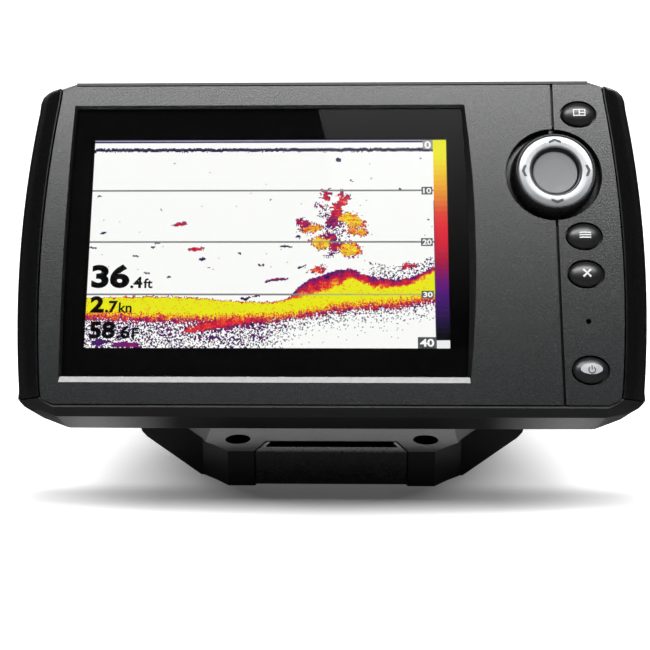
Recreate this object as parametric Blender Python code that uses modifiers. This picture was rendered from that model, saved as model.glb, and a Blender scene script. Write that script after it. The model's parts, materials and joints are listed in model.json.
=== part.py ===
"""Bracket-mounted fish finder: a five-inch-class sonar display head on a U-shaped tilting bracket.

World frame: metres, +Z up, +X to the right of somebody facing the screen, -Y towards that person.
The origin is the centre of the bracket's flat underside. The head is modelled in its own frame
(u right, v up along the face, h out of the face, all from the centre of the display) and is hung
on an empty that sits on the tilt axis, so one angle sets how far back it leans.
Numbers below are millimetres; MM turns them into metres.
"""

import math

import bmesh
import bpy
from mathutils import Matrix, Vector

MM = 0.001

# ---- driving dimensions (mm, degrees) -------------------------------------------------------
TILT_BACK = 27.25  # how far the face leans back from vertical at rest
PIVOT_V, PIVOT_H = -4.0, -40.0  # tilt axis in the head frame
PIVOT_Y, PIVOT_Z = -8.27, 72.03  # tilt axis in the world

FACE_T = 1.5  # thickness of the textured face mouldings
SPLIT_U = 76.05  # joint line between the screen moulding and the key moulding
SPLIT_GAP = 0.8
SCREEN_U = -21.4  # centre of the display along u
SCREEN_W, SCREEN_H = 121.0, 72.6  # lit area
NAV_U, NAV_V = 75.7, 23.05  # four-way pad
NAV_HOLE_R = 16.2
KEY_U = 84.8
KEYS = {"view": 44.7, "menu": 1.26, "exit": -11.8, "power": -44.0}
KEY_A, KEY_B = 6.3, 4.93  # half axes of a key's opening
SENSOR_V, SENSOR_R = -27.8, 0.9
PART_H = -20.0  # plane where front and rear housings meet
BULGE_HW = 62.5  # half width of the rear box between the bracket arms
BACK_H = -62.0  # flat back of the rear box

BASE_T = 13.7  # height of the bracket's foot
ARM_IN, ARM_OUT = 65.5, 72.0  # inner and outer faces of the bracket arms
FOOT_HOLE_X, FOOT_HOLE_Y = 35.4, 20.4
FOOT_HOLE_R, FOOT_BORE_R = 4.77, 2.5
BOSS_R = 13.5
KNOB_R = 13.2

SIN, COS = math.sin(math.radians(TILT_BACK)), math.cos(math.radians(TILT_BACK))

# ---- scene -----------------------------------------------------------------------------------
for old in list(bpy.data.objects):
    bpy.data.objects.remove(old)

PARTS = bpy.data.collections.new("fish_finder")
CUTTERS = bpy.data.collections.new("cutters")
bpy.context.scene.collection.children.link(PARTS)
bpy.context.scene.collection.children.link(CUTTERS)

MATERIALS = {}


def material(name, colour, roughness, metallic=0.0, alpha=1.0):
    m = bpy.data.materials.new(name)
    m.use_nodes = True
    p = m.node_tree.nodes["Principled BSDF"]
    p.inputs["Base Color"].default_value = (*colour, 1)
    p.inputs["Roughness"].default_value = roughness
    p.inputs["Metallic"].default_value = metallic
    p.inputs["Alpha"].default_value = alpha
    m.diffuse_color = (*colour, alpha)
    MATERIALS[name] = m
    return m


material("charcoal_textured", (0.075, 0.08, 0.085), 0.55)
material("black_satin", (0.012, 0.012, 0.013), 0.35)
material("black_moulded", (0.02, 0.02, 0.021), 0.5)
material("black_gloss", (0.01, 0.01, 0.011), 0.12)
material("clear_window", (0.9, 0.92, 0.95), 0.03, 0.0, 0.35)
material("black_print", (0.004, 0.004, 0.005), 0.2)
material("display_lit", (0.85, 0.86, 0.84), 0.15)
material("key_rubber", (0.06, 0.06, 0.062), 0.3)
material("silver_paint", (0.72, 0.73, 0.76), 0.28, 0.7)
material("seal_rubber", (0.02, 0.02, 0.02), 0.8)
material("steel", (0.62, 0.62, 0.63), 0.3, 1.0)
material("brass", (0.78, 0.6, 0.3), 0.3, 1.0)
material("aluminium", (0.75, 0.76, 0.78), 0.35, 1.0)
material("board_green", (0.02, 0.16, 0.07), 0.45)
material("component_black", (0.03, 0.03, 0.03), 0.5)
material("white_plastic", (0.8, 0.8, 0.78), 0.5)
material("flex_amber", (0.55, 0.27, 0.04), 0.4)
material("silicone_grey", (0.3, 0.31, 0.32), 0.6)

# ---- empties: the head hangs on its tilt axis --------------------------------------------------
root = bpy.data.objects.new("fish_finder_root", None)
PARTS.objects.link(root)

head_frame = bpy.data.objects.new("head_frame", None)
PARTS.objects.link(head_frame)
head_frame.parent = root
head_frame.location = (0, PIVOT_Y * MM, PIVOT_Z * MM)
head_frame.rotation_euler = (math.radians(90 - TILT_BACK), 0, 0)


# ---- helpers -----------------------------------------------------------------------------------
def new_object(name, mesh, cutter=False):
    obj = bpy.data.objects.new(name, mesh)
    (CUTTERS if cutter else PARTS).objects.link(obj)
    if cutter:
        obj.hide_render = True
        obj.display_type = "WIRE"
    return obj


def from_bmesh(name, bm, cutter=False):
    bmesh.ops.recalc_face_normals(bm, faces=bm.faces)
    mesh = bpy.data.meshes.new(name)
    bm.to_mesh(mesh)
    bm.free()
    return new_object(name, mesh, cutter)


def box(name, lo, hi, cutter=False):
    """A box between two corners (mm)."""
    bm = bmesh.new()
    bmesh.ops.create_cube(bm, size=1.0)
    size = [(b - a) * MM for a, b in zip(lo, hi)]
    mid = [(b + a) / 2 * MM for a, b in zip(lo, hi)]
    bmesh.ops.scale(bm, vec=size, verts=bm.verts)
    bmesh.ops.translate(bm, vec=mid, verts=bm.verts)
    return from_bmesh(name, bm, cutter)


AXES = {
    "Z": Matrix.Identity(3),
    "X": Matrix.Rotation(math.pi / 2, 3, "Y"),
    "Y": Matrix.Rotation(-math.pi / 2, 3, "X"),
}


def rod(name, r, centre, length, axis="Z", segments=24, r2=None, cutter=False, b=None):
    """A cylinder or cone centred on a point (mm); b gives a second half axis for an elliptical one."""
    bm = bmesh.new()
    bmesh.ops.create_cone(
        bm, cap_ends=True, segments=segments, radius1=r * MM, radius2=(r if r2 is None else r2) * MM, depth=length * MM
    )
    if b is not None:
        bmesh.ops.scale(bm, vec=(1, b / r, 1), verts=bm.verts)
    bmesh.ops.rotate(bm, matrix=AXES[axis], verts=bm.verts)
    bmesh.ops.translate(bm, vec=[c * MM for c in centre], verts=bm.verts)
    return from_bmesh(name, bm, cutter)


def realised(name, source, cutter=False):
    """The evaluated mesh of a curve or of an object with modifiers, as a welded mesh object."""
    bpy.context.view_layer.update()
    graph = bpy.context.evaluated_depsgraph_get()
    mesh = bpy.data.meshes.new_from_object(source.evaluated_get(graph))
    matrix = source.matrix_world.copy()
    bpy.data.objects.remove(source)
    bm = bmesh.new()
    bm.from_mesh(mesh)
    bmesh.ops.remove_doubles(bm, verts=bm.verts, dist=1e-6)
    bpy.data.meshes.remove(mesh)
    obj = from_bmesh(name, bm, cutter)
    obj.matrix_world = matrix
    return obj


def plate(name, outlines, h0, h1, cutter=False):
    """A flat outline (mm), with holes if it lists more than one loop, extruded from h0 to h1."""
    curve = bpy.data.curves.new(name, "CURVE")
    curve.dimensions = "2D"
    curve.fill_mode = "BOTH"
    curve.extrude = (h1 - h0) / 2 * MM
    for loop in outlines:
        spline = curve.splines.new("POLY")
        spline.points.add(len(loop) - 1)
        for p, (x, y) in zip(spline.points, loop):
            p.co = (x * MM, y * MM, 0, 1)
        spline.use_cyclic_u = True
    source = bpy.data.objects.new(name + "_outline", curve)
    PARTS.objects.link(source)
    obj = realised(name, source, cutter)
    obj.data.transform(Matrix.Translation((0, 0, (h0 + h1) / 2 * MM)))
    return obj


def turned(name, profile, segments=32, a=1.0, b=1.0, cutter=False):
    """A profile of (radius, height) in mm, turned about the local Z axis; a and b stretch it to an ellipse."""
    mesh = bpy.data.meshes.new(name + "_profile")
    mesh.from_pydata([(r * MM, 0, z * MM) for r, z in profile], [(i, i + 1) for i in range(len(profile) - 1)], [])
    source = bpy.data.objects.new(name + "_profile", mesh)
    PARTS.objects.link(source)
    screw = source.modifiers.new("Screw", "SCREW")
    screw.axis = "Z"
    screw.angle = math.tau
    screw.steps = screw.render_steps = segments
    screw.use_merge_vertices = True
    screw.merge_threshold = 1e-6
    obj = realised(name, source, cutter)
    obj.data.transform(Matrix.Diagonal((a, b, 1, 1)))
    return obj


def loft(name, rings, cutter=False):
    """A closed solid through rings that hold the same number of (x, y, z) points in mm."""
    bm = bmesh.new()
    rows = [[bm.verts.new([c * MM for c in p]) for p in ring] for ring in rings]
    n = len(rows[0])
    for lower, upper in zip(rows, rows[1:]):
        for i in range(n):
            j = (i + 1) % n
            bm.faces.new((lower[i], lower[j], upper[j], upper[i]))
    bm.faces.new(rows[0])
    bm.faces.new(rows[-1])
    return from_bmesh(name, bm, cutter)


def boolean(obj, other, operation):
    m = obj.modifiers.new(operation.title() + "_" + other.name, "BOOLEAN")
    m.operation = operation
    m.solver = "EXACT"
    m.object = other
    return obj


def cut(obj, *others):
    for o in others:
        boolean(obj, o, "DIFFERENCE")
    return obj


def join(obj, *others):
    for o in others:
        boolean(obj, o, "UNION")
    return obj


def rounded(obj, width, segments=1, angle=30.0):
    m = obj.modifiers.new("Edge_radius", "BEVEL")
    m.width = width * MM
    m.segments = segments
    m.limit_method = "ANGLE"
    m.angle_limit = math.radians(angle)
    return obj


def in_head(*objs):
    """Hangs pieces that are modelled in the head frame on the tilt axis."""
    for obj in objs:
        obj.parent = head_frame
        obj.location = (0, -PIVOT_V * MM, -PIVOT_H * MM)


def in_head_at(obj, u, v, h):
    """Hangs a piece whose own origin is at (u, v, h) of the head frame."""
    obj.parent = head_frame
    obj.location = (u * MM, (v - PIVOT_V) * MM, (h - PIVOT_H) * MM)


def finish(obj, mat, smooth=None):
    obj.data.materials.clear()
    obj.data.materials.append(MATERIALS[mat])
    if smooth:
        obj.data.shade_smooth()
        obj.data.set_sharp_from_angle(angle=math.radians(smooth))
    return obj


def spaced(a, b, n):
    return [a + (b - a) * i / (n - 1) for i in range(n)]


def mirrored(right):
    """A closed outline from its right half, which runs from bottom to top."""
    return right + [(-x, y) for x, y in reversed(right)]


def moved_in(loop, d):
    """The outline of a convex loop moved inwards by d (outwards when d is negative)."""
    area = sum(a[0] * b[1] - b[0] * a[1] for a, b in zip(loop, loop[1:] + loop[:1]))
    sign = 1 if area > 0 else -1
    out = []
    n = len(loop)
    for i in range(n):
        p, q, r = Vector(loop[i - 1]), Vector(loop[i]), Vector(loop[(i + 1) % n])
        e1, e2 = (q - p).normalized(), (r - q).normalized()
        n1, n2 = Vector((-e1.y, e1.x)) * sign, Vector((-e2.y, e2.x)) * sign
        bis = (n1 + n2).normalized()
        out.append(tuple(q + bis * (d / max(bis.dot(n1), 0.35))))
    return out


def ellipse(u, v, a, b, n=22):
    return [(u + a * math.cos(math.tau * i / n), v + b * math.sin(math.tau * i / n)) for i in range(n)]


def rounded_rect(u0, u1, v0, v1, r, n=4):
    out = []
    for cx, cy, start in ((u1 - r, v0 + r, -90), (u1 - r, v1 - r, 0), (u0 + r, v1 - r, 90), (u0 + r, v0 + r, 180)):
        for i in range(n + 1):
            a = math.radians(start + 90 * i / n)
            out.append((cx + r * math.cos(a), cy + r * math.sin(a)))
    return out


# ---- outlines of the head --------------------------------------------------------------------
SIDE_V = spaced(-50, 49.5, 9)


def face_side(v):
    return 97.2 - 0.0012 * (v + 5) ** 2


def body_side(v):
    return 107.0 - 0.0013 * (v + 3) ** 2


FACE_RIGHT = (
    [(90.2, -55.4), (91.6, -54.85), (92.9, -54.3), (94.1, -53.7)]
    + [(face_side(v), v) for v in SIDE_V]
    + [(93.2, 53.8), (92.1, 54.3), (91.0, 54.8), (90.0, 55.25), (88.9, 55.75)]
)
BODY_RIGHT = (
    [(90.0, -61.0), (99.2, -57.7), (101.8, -55.9), (104.1, -52.9)]
    + [(body_side(v), v) for v in SIDE_V]
    + [(103.2, 52.8), (102.5, 55.0), (100.8, 56.9), (95.9, 58.6), (89.8, 60.3)]
)
FACE = mirrored(FACE_RIGHT)
BODY = mirrored(BODY_RIGHT)


def section(h, fu, fv, low=None):
    """The head's cross-section at h: fu and fv say how far it has grown from the face outline to the body's,
    and low says it for the bottom edge when that differs from the top."""
    low = fv if low is None else low
    return [
        (fx + (bx - fx) * fu, fy + (by - fy) * (low if fy < 0 else fv), h) for (fx, fy), (bx, by) in zip(FACE, BODY)
    ]


# ---- textured face mouldings -------------------------------------------------------------------
def side_bow(ends, middle, v0, v1, n=9):
    """Half of a window outline whose side bows out from `ends` to `middle`."""
    mid, half = (v0 + v1) / 2, (v1 - v0) / 2
    return [(middle - (middle - ends) * ((v - mid) / half) ** 2, v) for v in spaced(v0, v1, n)]


def window(left, right, v0, v1, h):
    """The window opening at h; left and right are (u at the corners, u half way up)."""
    a, b = side_bow(*right, v0, v1), side_bow(*left, v0, v1)
    return [(x, y, h) for x, y in a] + [(x, y, h) for x, y in reversed(b)]


split_l, split_r = SPLIT_U - SPLIT_GAP / 2, SPLIT_U + SPLIT_GAP / 2
left_loop = [p for p in FACE if p[0] < 0]
left_loop = (
    [(-90.2, -55.4), (split_l, -55.4), (split_l, 55.75), (-88.9, 55.75)]
    + [(-x, y) for x, y in reversed(FACE_RIGHT[1:-1])]
)
face_plate = plate("face_plate", [left_loop], -FACE_T, 0)
face_cut = loft(
    "cut_window",
    [
        window((-87.8, -88.8), (44.9, 46.4), -45.8, 47.6, -FACE_T - 0.8),
        window((-87.9, -88.9), (45.0, 46.5), -45.95, 47.75, -FACE_T),
        window((-88.6, -89.5), (45.9, 48.85), -47.25, 48.35, 0),
        window((-89.1, -89.9), (46.5, 50.4), -48.1, 48.75, 1.0),
    ],
    cutter=True,
)
nav_cut = rod("cut_nav", NAV_HOLE_R, (NAV_U, NAV_V, -1), 8, segments=40, cutter=True)
cut(face_plate, face_cut, nav_cut)

right_loop = [(split_r, -55.4)] + FACE_RIGHT + [(split_r, 55.75)]
holes = [ellipse(KEY_U, v, KEY_A, KEY_B) for v in KEYS.values()]
holes.append(ellipse(KEY_U + 0.1, SENSOR_V, SENSOR_R, SENSOR_R, 12))
keypad_panel = plate("keypad_panel", [right_loop] + holes, -FACE_T, 0)
cut(keypad_panel, nav_cut)

# ---- front housing -----------------------------------------------------------------------------
front_housing = loft(
    "front_housing",
    [
        section(-0.7, 0.08, 0.17),
        section(-5.0, 0.58, 0.72, 0.63),
        section(-8.0, 1.0, 0.78, 0.7),
        section(PART_H, 0.96, 1.0),
    ],
)
face_pocket = plate("cut_face_pocket", [moved_in(FACE, -0.3)], -FACE_T - 0.3, 2, cutter=True)
cavity = loft(
    "cut_front_cavity",
    [section(-6.3, 0.2, 0.15), section(-11.0, 0.68, 0.35), section(PART_H - 1, 0.68, 0.45)],
    cutter=True,
)
lens_pocket = plate(
    "cut_lens_pocket", [rounded_rect(SCREEN_U - 70.5, SCREEN_U + 70.5, -48.7, 51.0, 3)], -4.8, 0, cutter=True
)
lcd_window = box("cut_lcd_window", (SCREEN_U - 63.4, -39.4, -9), (SCREEN_U + 63.4, 39.4, 1), cutter=True)
nav_well = rod("cut_nav_well", 17.9, (NAV_U, NAV_V, -4), 10, segments=28, cutter=True)
key_wells = [rod(f"cut_{k}_well", 7.3, (KEY_U, v, -4), 10, segments=16, b=5.9, cutter=True) for k, v in KEYS.items()]
sensor_well = rod("cut_sensor_well", 1.3, (KEY_U + 0.1, SENSOR_V, -4), 10, segments=12, cutter=True)

SCREWS = [(97.5, 41.0), (97.5, -41.0), (-97.5, 41.0), (-97.5, -41.0), (0.0, 53.6), (0.0, -53.6)]
bosses, pilots = [], []
for i, (u, v) in enumerate(SCREWS, 1):
    bosses.append(rod(f"add_boss_{i}", 3.3, (u, v, (PART_H - 6.0) / 2), -6.0 - PART_H, segments=10, cutter=True))
    pilots.append(rod(f"cut_pilot_{i}", 1.35, (u, v, -17.0), 9.0, segments=8, cutter=True))

# ---- side trims --------------------------------------------------------------------------------
TRIM = (
    [((94.75, -53.0), (104.2, -53.0))]
    + [((face_side(v) + 0.45, v), (body_side(v), v)) for v in SIDE_V]
    + [
        ((93.75, 52.6), (103.2, 52.8)),
        ((93.75, 53.7), (102.5, 55.0)),
        ((93.75, 54.4), (100.8, 56.9)),
        ((93.75, 54.9), (97.5, 57.7)),
    ]
)


def trim_rings(side, g):
    """Cross-sections of a side trim from its lower to its upper end; with a clearance g, those of its pocket."""
    rings = []
    for k, (inner, outer) in enumerate(TRIM):
        i, o = Vector(inner), Vector(outer)
        along = (o - i).normalized()
        end = {0: -1, len(TRIM) - 1: 1}.get(k, 0)
        i, o = (p + Vector((-along.y, along.x)) * (g * end) for p in (i, o))
        m = i.lerp(o, 0.55)
        if g:
            pts = [
                (i - along * g, 2.0),
                (o + along * 4, 2.0),
                (o + along * 4, -9.9),
                (o - along * 0.2, -9.9),
                (m - along * 1.6, -6.5),
                (i - along * g, -2.9),
            ]
        else:
            pts = [(i, -0.35), (m, -3.55), (o, -8.1), (o, -9.55), (m - along * 0.6, -5.95), (i, -2.5)]
        rings.append([(side * p.x, p.y, h) for p, h in pts])
    return rings


side_trim_right = loft("side_trim_right", trim_rings(1, 0))
side_trim_left = loft("side_trim_left", trim_rings(-1, 0))
trim_cut_r = loft("cut_trim_right", trim_rings(1, 0.3), cutter=True)
trim_cut_l = loft("cut_trim_left", trim_rings(-1, 0.3), cutter=True)

top_lip = box("add_top_lip", (-88.5, 55.85, -2.0), (88.5, 57.0, -0.1), cutter=True)

cut(front_housing, cavity)
join(front_housing, *bosses, top_lip)
cut(front_housing, face_pocket, lens_pocket, lcd_window, nav_well, *key_wells, sensor_well, trim_cut_r, trim_cut_l)
cut(front_housing, *pilots)

# ---- window stack and display ------------------------------------------------------------------
lens = plate("lens", [rounded_rect(SCREEN_U - 70, SCREEN_U + 70, -48.2, 50.5, 2.6)], -3.5, -1.7)
lens_mask = plate(
    "lens_mask",
    [
        rounded_rect(SCREEN_U - 69.8, SCREEN_U + 69.8, -48.0, 50.3, 2.4),
        rounded_rect(SCREEN_U - SCREEN_W / 2, SCREEN_U + SCREEN_W / 2, -SCREEN_H / 2, SCREEN_H / 2, 0.4, 1),
    ],
    -3.85,
    -3.6,
)
lens_gasket = plate(
    "lens_gasket",
    [
        rounded_rect(SCREEN_U - 69.5, SCREEN_U + 69.5, -47.7, 50.0, 2.2),
        rounded_rect(SCREEN_U - 65.5, SCREEN_U + 65.5, -43.5, 45.5, 2.0),
    ],
    -4.65,
    -4.0,
)
lcd_panel = box("lcd_panel", (SCREEN_U - 63.0, -39.0, -6.0), (SCREEN_U + 63.0, 39.0, -4.1))
lcd_backlight = box("lcd_backlight", (SCREEN_U - 63.5, -40.0, -10.0), (SCREEN_U + 63.5, 40.0, -6.8))
lcd_frame = box("lcd_frame", (SCREEN_U - 65.5, -42.0, -11.2), (SCREEN_U + 65.5, 42.0, -6.7))
cut(lcd_frame, box("cut_lcd_frame", (SCREEN_U - 64.3, -40.8, -10.3), (SCREEN_U + 64.3, 40.8, -4), cutter=True))

# ---- keys ---------------------------------------------------------------------------------------
KEY_PROFILE = [(1.18, -2.45), (1.18, -3.2), (0.0, -3.2)]
DOME = [(0.0, 1.75), (0.35, 1.64), (0.66, 1.28), (0.88, 0.68), (1.0, -0.15), (1.0, -2.45)]
key_objects = {}
for key, v in KEYS.items():
    cap = turned(f"{key}_button", DOME + KEY_PROFILE, 22, 5.65, 4.3)
    in_head_at(cap, KEY_U, v, 0)
    key_objects[key] = cap

nav_rocker = turned(
    "nav_rocker",
    [
        (0.0, 1.35), (7.25, 1.7), (8.45, 2.6), (12.8, 2.6), (13.3, 2.8),
        (14.1, 1.2), (14.4, -2.9), (17.0, -2.9), (17.0, -3.9), (5.6, -3.9), (5.6, -1.4), (0.0, -1.4),
    ],
    36,
)
in_head_at(nav_rocker, NAV_U, NAV_V, -2.2)
nav_rocker.data.transform(Matrix.Translation((0, 0, 2.2 * MM)))
nav_ring = turned(
    "nav_ring",
    [(8.55, 2.9), (8.85, 3.55), (12.3, 3.55), (12.65, 2.9), (8.55, 2.9)],
    36,
)
in_head_at(nav_ring, NAV_U, NAV_V, -2.2)
nav_ring.data.transform(Matrix.Translation((0, 0, 2.2 * MM)))
nav_pivot = turned("nav_pivot", [(0.0, -1.8), (2.6, -1.8), (3.9, -2.3), (3.9, -4.6), (2.4, -5.3), (0.0, -5.3)], 20)
in_head_at(nav_pivot, NAV_U, NAV_V, -2.2)
nav_pivot.data.transform(Matrix.Translation((0, 0, 2.2 * MM)))

keypad_membrane = box("keypad_membrane", (59.6, -49.5, -7.7), (93.7, 50.2, -6.6))
domes = [
    rod(f"add_{k}_plunger", 4.0, (KEY_U, v, -5.7), 2.6, segments=12, b=3.0, cutter=True) for k, v in KEYS.items()
]
nubs = [
    rod(f"add_nav_nub_{i}", 1.7, (NAV_U + dx, NAV_V + dy, -5.95), 2.1, segments=8, cutter=True)
    for i, (dx, dy) in enumerate(((10.5, 0), (0, 10.5), (-10.5, 0), (0, -10.5)))
]
nubs.append(rod("add_nav_post", 2.2, (NAV_U, NAV_V, -6.4), 1.5, segments=12, cutter=True))
join(keypad_membrane, *domes, *nubs)
keypad_board = box("keypad_board", (59.9, -49.2, -9.5), (93.4, 49.9, -8.0))
light_sensor = rod("light_sensor", 0.95, (KEY_U + 0.1, SENSOR_V, -4.4), 3.8, segments=12, r2=0.7)

# ---- rear housing --------------------------------------------------------------------------------
flange_out = [(x, y) for x, y, _ in section(0, 0.93, 0.97)]
rear_housing = loft(
    "rear_housing",
    [
        [(x, y, -20.7) for x, y in flange_out],
        [(x, y, -22.6) for x, y in flange_out],
        [(x, y, -24.2) for x, y in moved_in(flange_out, 1.6)],
    ],
)
BULGE = [  # h, half width, lowest v, highest v, corner radius
    (-21.0, 63.5, -46.0, 43.0, 9.0),
    (-27.0, BULGE_HW, -45.0, 42.0, 9.0),
    (-50.0, BULGE_HW, -43.0, 39.0, 9.0),
    (-57.5, 60.5, -40.0, 35.5, 9.0),
    (BACK_H, 55.5, -35.5, 31.0, 8.0),
]
bulge = loft(
    "add_bulge",
    [[(x, y, h) for x, y in rounded_rect(-w, w, v0, v1, r, 3)] for h, w, v0, v1, r in BULGE],
    cutter=True,
)
bulge_cavity = loft(
    "cut_bulge_cavity",
    [
        [(x, y, h) for x, y in rounded_rect(-w, w, v0, v1, r, 2)]
        for h, w, v0, v1, r in (
            (-19.5, 60.0, -43.0, 40.0, 7.0),
            (-49.5, 59.8, -40.4, 36.4, 7.0),
            (-56.5, 57.2, -37.4, 33.0, 7.0),
            (BACK_H + 3.2, 53.5, -33.8, 29.4, 6.0),
        )
    ],
    cutter=True,
)
flange_cavity = plate("cut_flange_cavity", [[(x * 0.94, y * 0.9) for x, y in flange_out]], -22.4, -19.5, cutter=True)
seal_groove = plate(
    "cut_seal_groove", [moved_in(flange_out, 0.9), moved_in(flange_out, 2.5)], -21.95, -20.0, cutter=True
)
join(rear_housing, bulge)
# side bosses that carry the threaded inserts of the tilt axis
pivot_pads = [
    rod(f"add_pivot_pad_{s}", 12.0, (sx * 58.2, PIVOT_V, PIVOT_H), 11.2, "X", 20, cutter=True)
    for s, sx in (("left", -1), ("right", 1))
]
cut(rear_housing, flange_cavity, bulge_cavity)
join(rear_housing, *pivot_pads)
insert_holes = [
    rod(f"cut_insert_{s}", 5.3, (sx * 60.0, PIVOT_V, PIVOT_H), 20.0, "X", 20, cutter=True)
    for s, sx in (("left", -1), ("right", 1))
]
cut(rear_housing, seal_groove, *insert_holes)
through = [rod(f"cut_through_{i}", 1.6, (u, v, -22), 8, segments=8, cutter=True) for i, (u, v) in enumerate(SCREWS, 1)]
cut(rear_housing, *through)

SOCKETS = {"power_socket": -31.0, "sonar_socket": -6.0, "accessory_socket": 19.0}
SOCKET_V = -16.0
socket_holes = [
    rod(f"cut_{n}", 6.9, (u, SOCKET_V, BACK_H), 12, segments=20, cutter=True) for n, u in SOCKETS.items()
]
cut(rear_housing, *socket_holes)
DOOR_U0, DOOR_U1, DOOR_V0, DOOR_V1 = 8.0, 40.0, 8.0, 24.0
door_recess = box("cut_door_recess", (DOOR_U0, DOOR_V0, BACK_H - 1), (DOOR_U1, DOOR_V1, BACK_H + 2.3), cutter=True)
knuckle_way = rod("cut_knuckle_way", 1.75, (24.0, DOOR_V0 + 1.6, BACK_H + 1.45), 32.0, "X", 14, cutter=True)
card_slot = box("cut_card_slot", (18.0, 15.5, BACK_H - 1), (30.2, 17.3, BACK_H + 6), cutter=True)
pin_hole = rod("cut_door_pin", 0.75, (24.0, DOOR_V0 + 1.6, BACK_H + 1.45), 35.4, "X", 12, cutter=True)
vent_hole = rod("cut_vent", 2.0, (-40.0, 16.0, BACK_H), 10, segments=14, cutter=True)
fins = [
    box(f"cut_fin_{i}", (-29.0, 6.4 + 4.2 * i, BACK_H - 1), (0.0, 8.4 + 4.2 * i, BACK_H + 1.1), cutter=True)
    for i in range(5)
]
cut(rear_housing, door_recess, knuckle_way, card_slot, pin_hole, vent_hole, *fins)

housing_seal = plate("housing_seal", [moved_in(flange_out, 1.15), moved_in(flange_out, 2.25)], -21.8, -20.25)

housing_screws = []
for i, (u, v) in enumerate(SCREWS, 1):
    screw = turned(
        f"housing_screw_{i}",
        [(0.0, 11.2), (1.15, 11.2), (1.15, 0.0), (2.75, 0.0), (2.75, -1.1), (2.1, -1.7), (0.0, -1.7)],
        10,
    )
    in_head_at(screw, u, v, -24.4)
    housing_screws.append(screw)

# ---- rear fittings -------------------------------------------------------------------------------
PINS = {"power_socket": 3, "sonar_socket": 5, "accessory_socket": 4}
socket_objects = []
for name, u in SOCKETS.items():
    shell = turned(
        name,
        [
            (0.0, 8.0), (6.5, 8.0), (6.5, -0.25), (8.2, -0.25), (8.2, -1.8),
            (6.4, -1.8), (6.4, -7.5), (5.2, -7.5), (5.2, 5.0), (0.0, 5.0),
        ],
        20,
    )
    in_head_at(shell, u, SOCKET_V, BACK_H)
    pins = []
    for i in range(PINS[name]):
        a = math.tau * i / PINS[name] + math.pi / 2
        pin = rod(f"add_{name}_pin_{i}", 0.55, (2.9 * math.cos(a), 2.9 * math.sin(a), 3.2), 6.4, segments=6, cutter=True)
        in_head_at(pin, u, SOCKET_V, BACK_H)
        pins.append(pin)
    key = box(f"add_{name}_key", (-0.8, 4.3, -6.5), (0.8, 5.6, 5.5), cutter=True)
    in_head_at(key, u, SOCKET_V, BACK_H)
    join(shell, *pins, key)
    socket_objects.append(shell)

vent_plug = turned(
    "vent_plug",
    [(0.0, 4.6), (1.7, 4.6), (1.7, -0.3), (4.2, -0.3), (4.2, -0.9), (3.6, -1.4), (0.0, -1.4)],
    18,
)
in_head_at(vent_plug, -40.0, 16.0, BACK_H)

HINGE_V, HINGE_H = DOOR_V0 + 1.6, BACK_H + 1.45
card_door = box("card_door", (DOOR_U0 + 0.35 - 24, 0.9, -1.3), (DOOR_U1 - 0.35 - 24, DOOR_V1 - 0.35 - HINGE_V, 0.5))
knuckle = rod("add_door_knuckle", 1.25, (0, 0, 0), 31.3, "X", 14, cutter=True)
knuckle_hole = rod("cut_door_knuckle", 0.75, (0, 0, 0), 40, "X", 12, cutter=True)
grip = rod("cut_door_grip", 3.0, (0, DOOR_V1 - 0.35 - HINGE_V + 1.3, -2.2), 2.4, "Z", 16, cutter=True)
for o in (card_door, knuckle, knuckle_hole, grip):
    in_head_at(o, 24.0, HINGE_V, HINGE_H)
join(card_door, knuckle)
cut(card_door, knuckle_hole, grip)
card_door_pin = rod("card_door_pin", 0.55, (0, 0, 0), 34.8, "X", 10)
in_head_at(card_door_pin, 24.0, HINGE_V, HINGE_H)

card_socket = box("card_socket", (16.8, 14.6, BACK_H + 3.6), (31.4, 18.2, BACK_H + 19.0))
cut(card_socket, box("cut_card_way", (18.3, 15.7, BACK_H), (29.9, 17.1, BACK_H + 16.0), cutter=True))

pivot_inserts = []
for s, sx in (("left", -1), ("right", 1)):
    insert = rod(f"pivot_insert_{s}", 5.0, (sx * 58.0, PIVOT_V, PIVOT_H), 10.6, "X", 20)
    cut(insert, rod(f"cut_pivot_insert_{s}", 3.2, (sx * 58.0, PIVOT_V, PIVOT_H), 20, "X", 20, cutter=True))
    pivot_inserts.append(insert)

# ---- electronics ----------------------------------------------------------------------------------
main_board = box("main_board", (-86.0, -41.5, -16.6), (56.0, 41.5, -15.0))
BOARD_SCREWS = [(-80.0, 36.0), (50.0, 36.0), (-80.0, -36.0), (50.0, -36.0)]
main_board_screws = []
for i, (u, v) in enumerate(BOARD_SCREWS, 1):
    cut(main_board, rod(f"cut_board_hole_{i}", 1.7, (u, v, -16), 6, segments=12, cutter=True))
    s = turned(
        f"board_screw_{i}",
        [(0.0, 3.2), (1.3, 3.2), (1.3, -0.2), (2.5, -0.2), (2.5, -1.8), (0.0, -1.8)],
        10,
    )
    in_head_at(s, u, v, -16.6)
    main_board_screws.append(s)
processor = box("processor", (-32.0, -14.0, -18.6), (-10.0, 8.0, -16.8))
heat_spreader = box("heat_spreader", (-36.0, -18.0, -22.3), (-6.0, 12.0, -18.9))
cut(
    heat_spreader,
    *[box(f"cut_spreader_{i}", (-40.0, -15.4 + 6 * i, -25), (0.0, -12.2 + 6 * i, -20.3), cutter=True) for i in range(5)],
)
sonar_transformer = box("sonar_transformer", (18.0, -24.0, -33.0), (42.0, -2.0, -16.9))
rounded(sonar_transformer, 1.2, 1)
sounder = turned("sounder", [(0.0, 0.0), (7.5, 0.0), (7.5, -5.0), (6.6, -6.0), (1.5, -6.0), (1.5, -4.5), (0.0, -4.5)], 24)
in_head_at(sounder, 34.0, 20.0, -16.9)
supply_capacitor = rod("supply_capacitor", 5.0, (-50.0, -22.0, -23.4), 13.0, segments=18)
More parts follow.
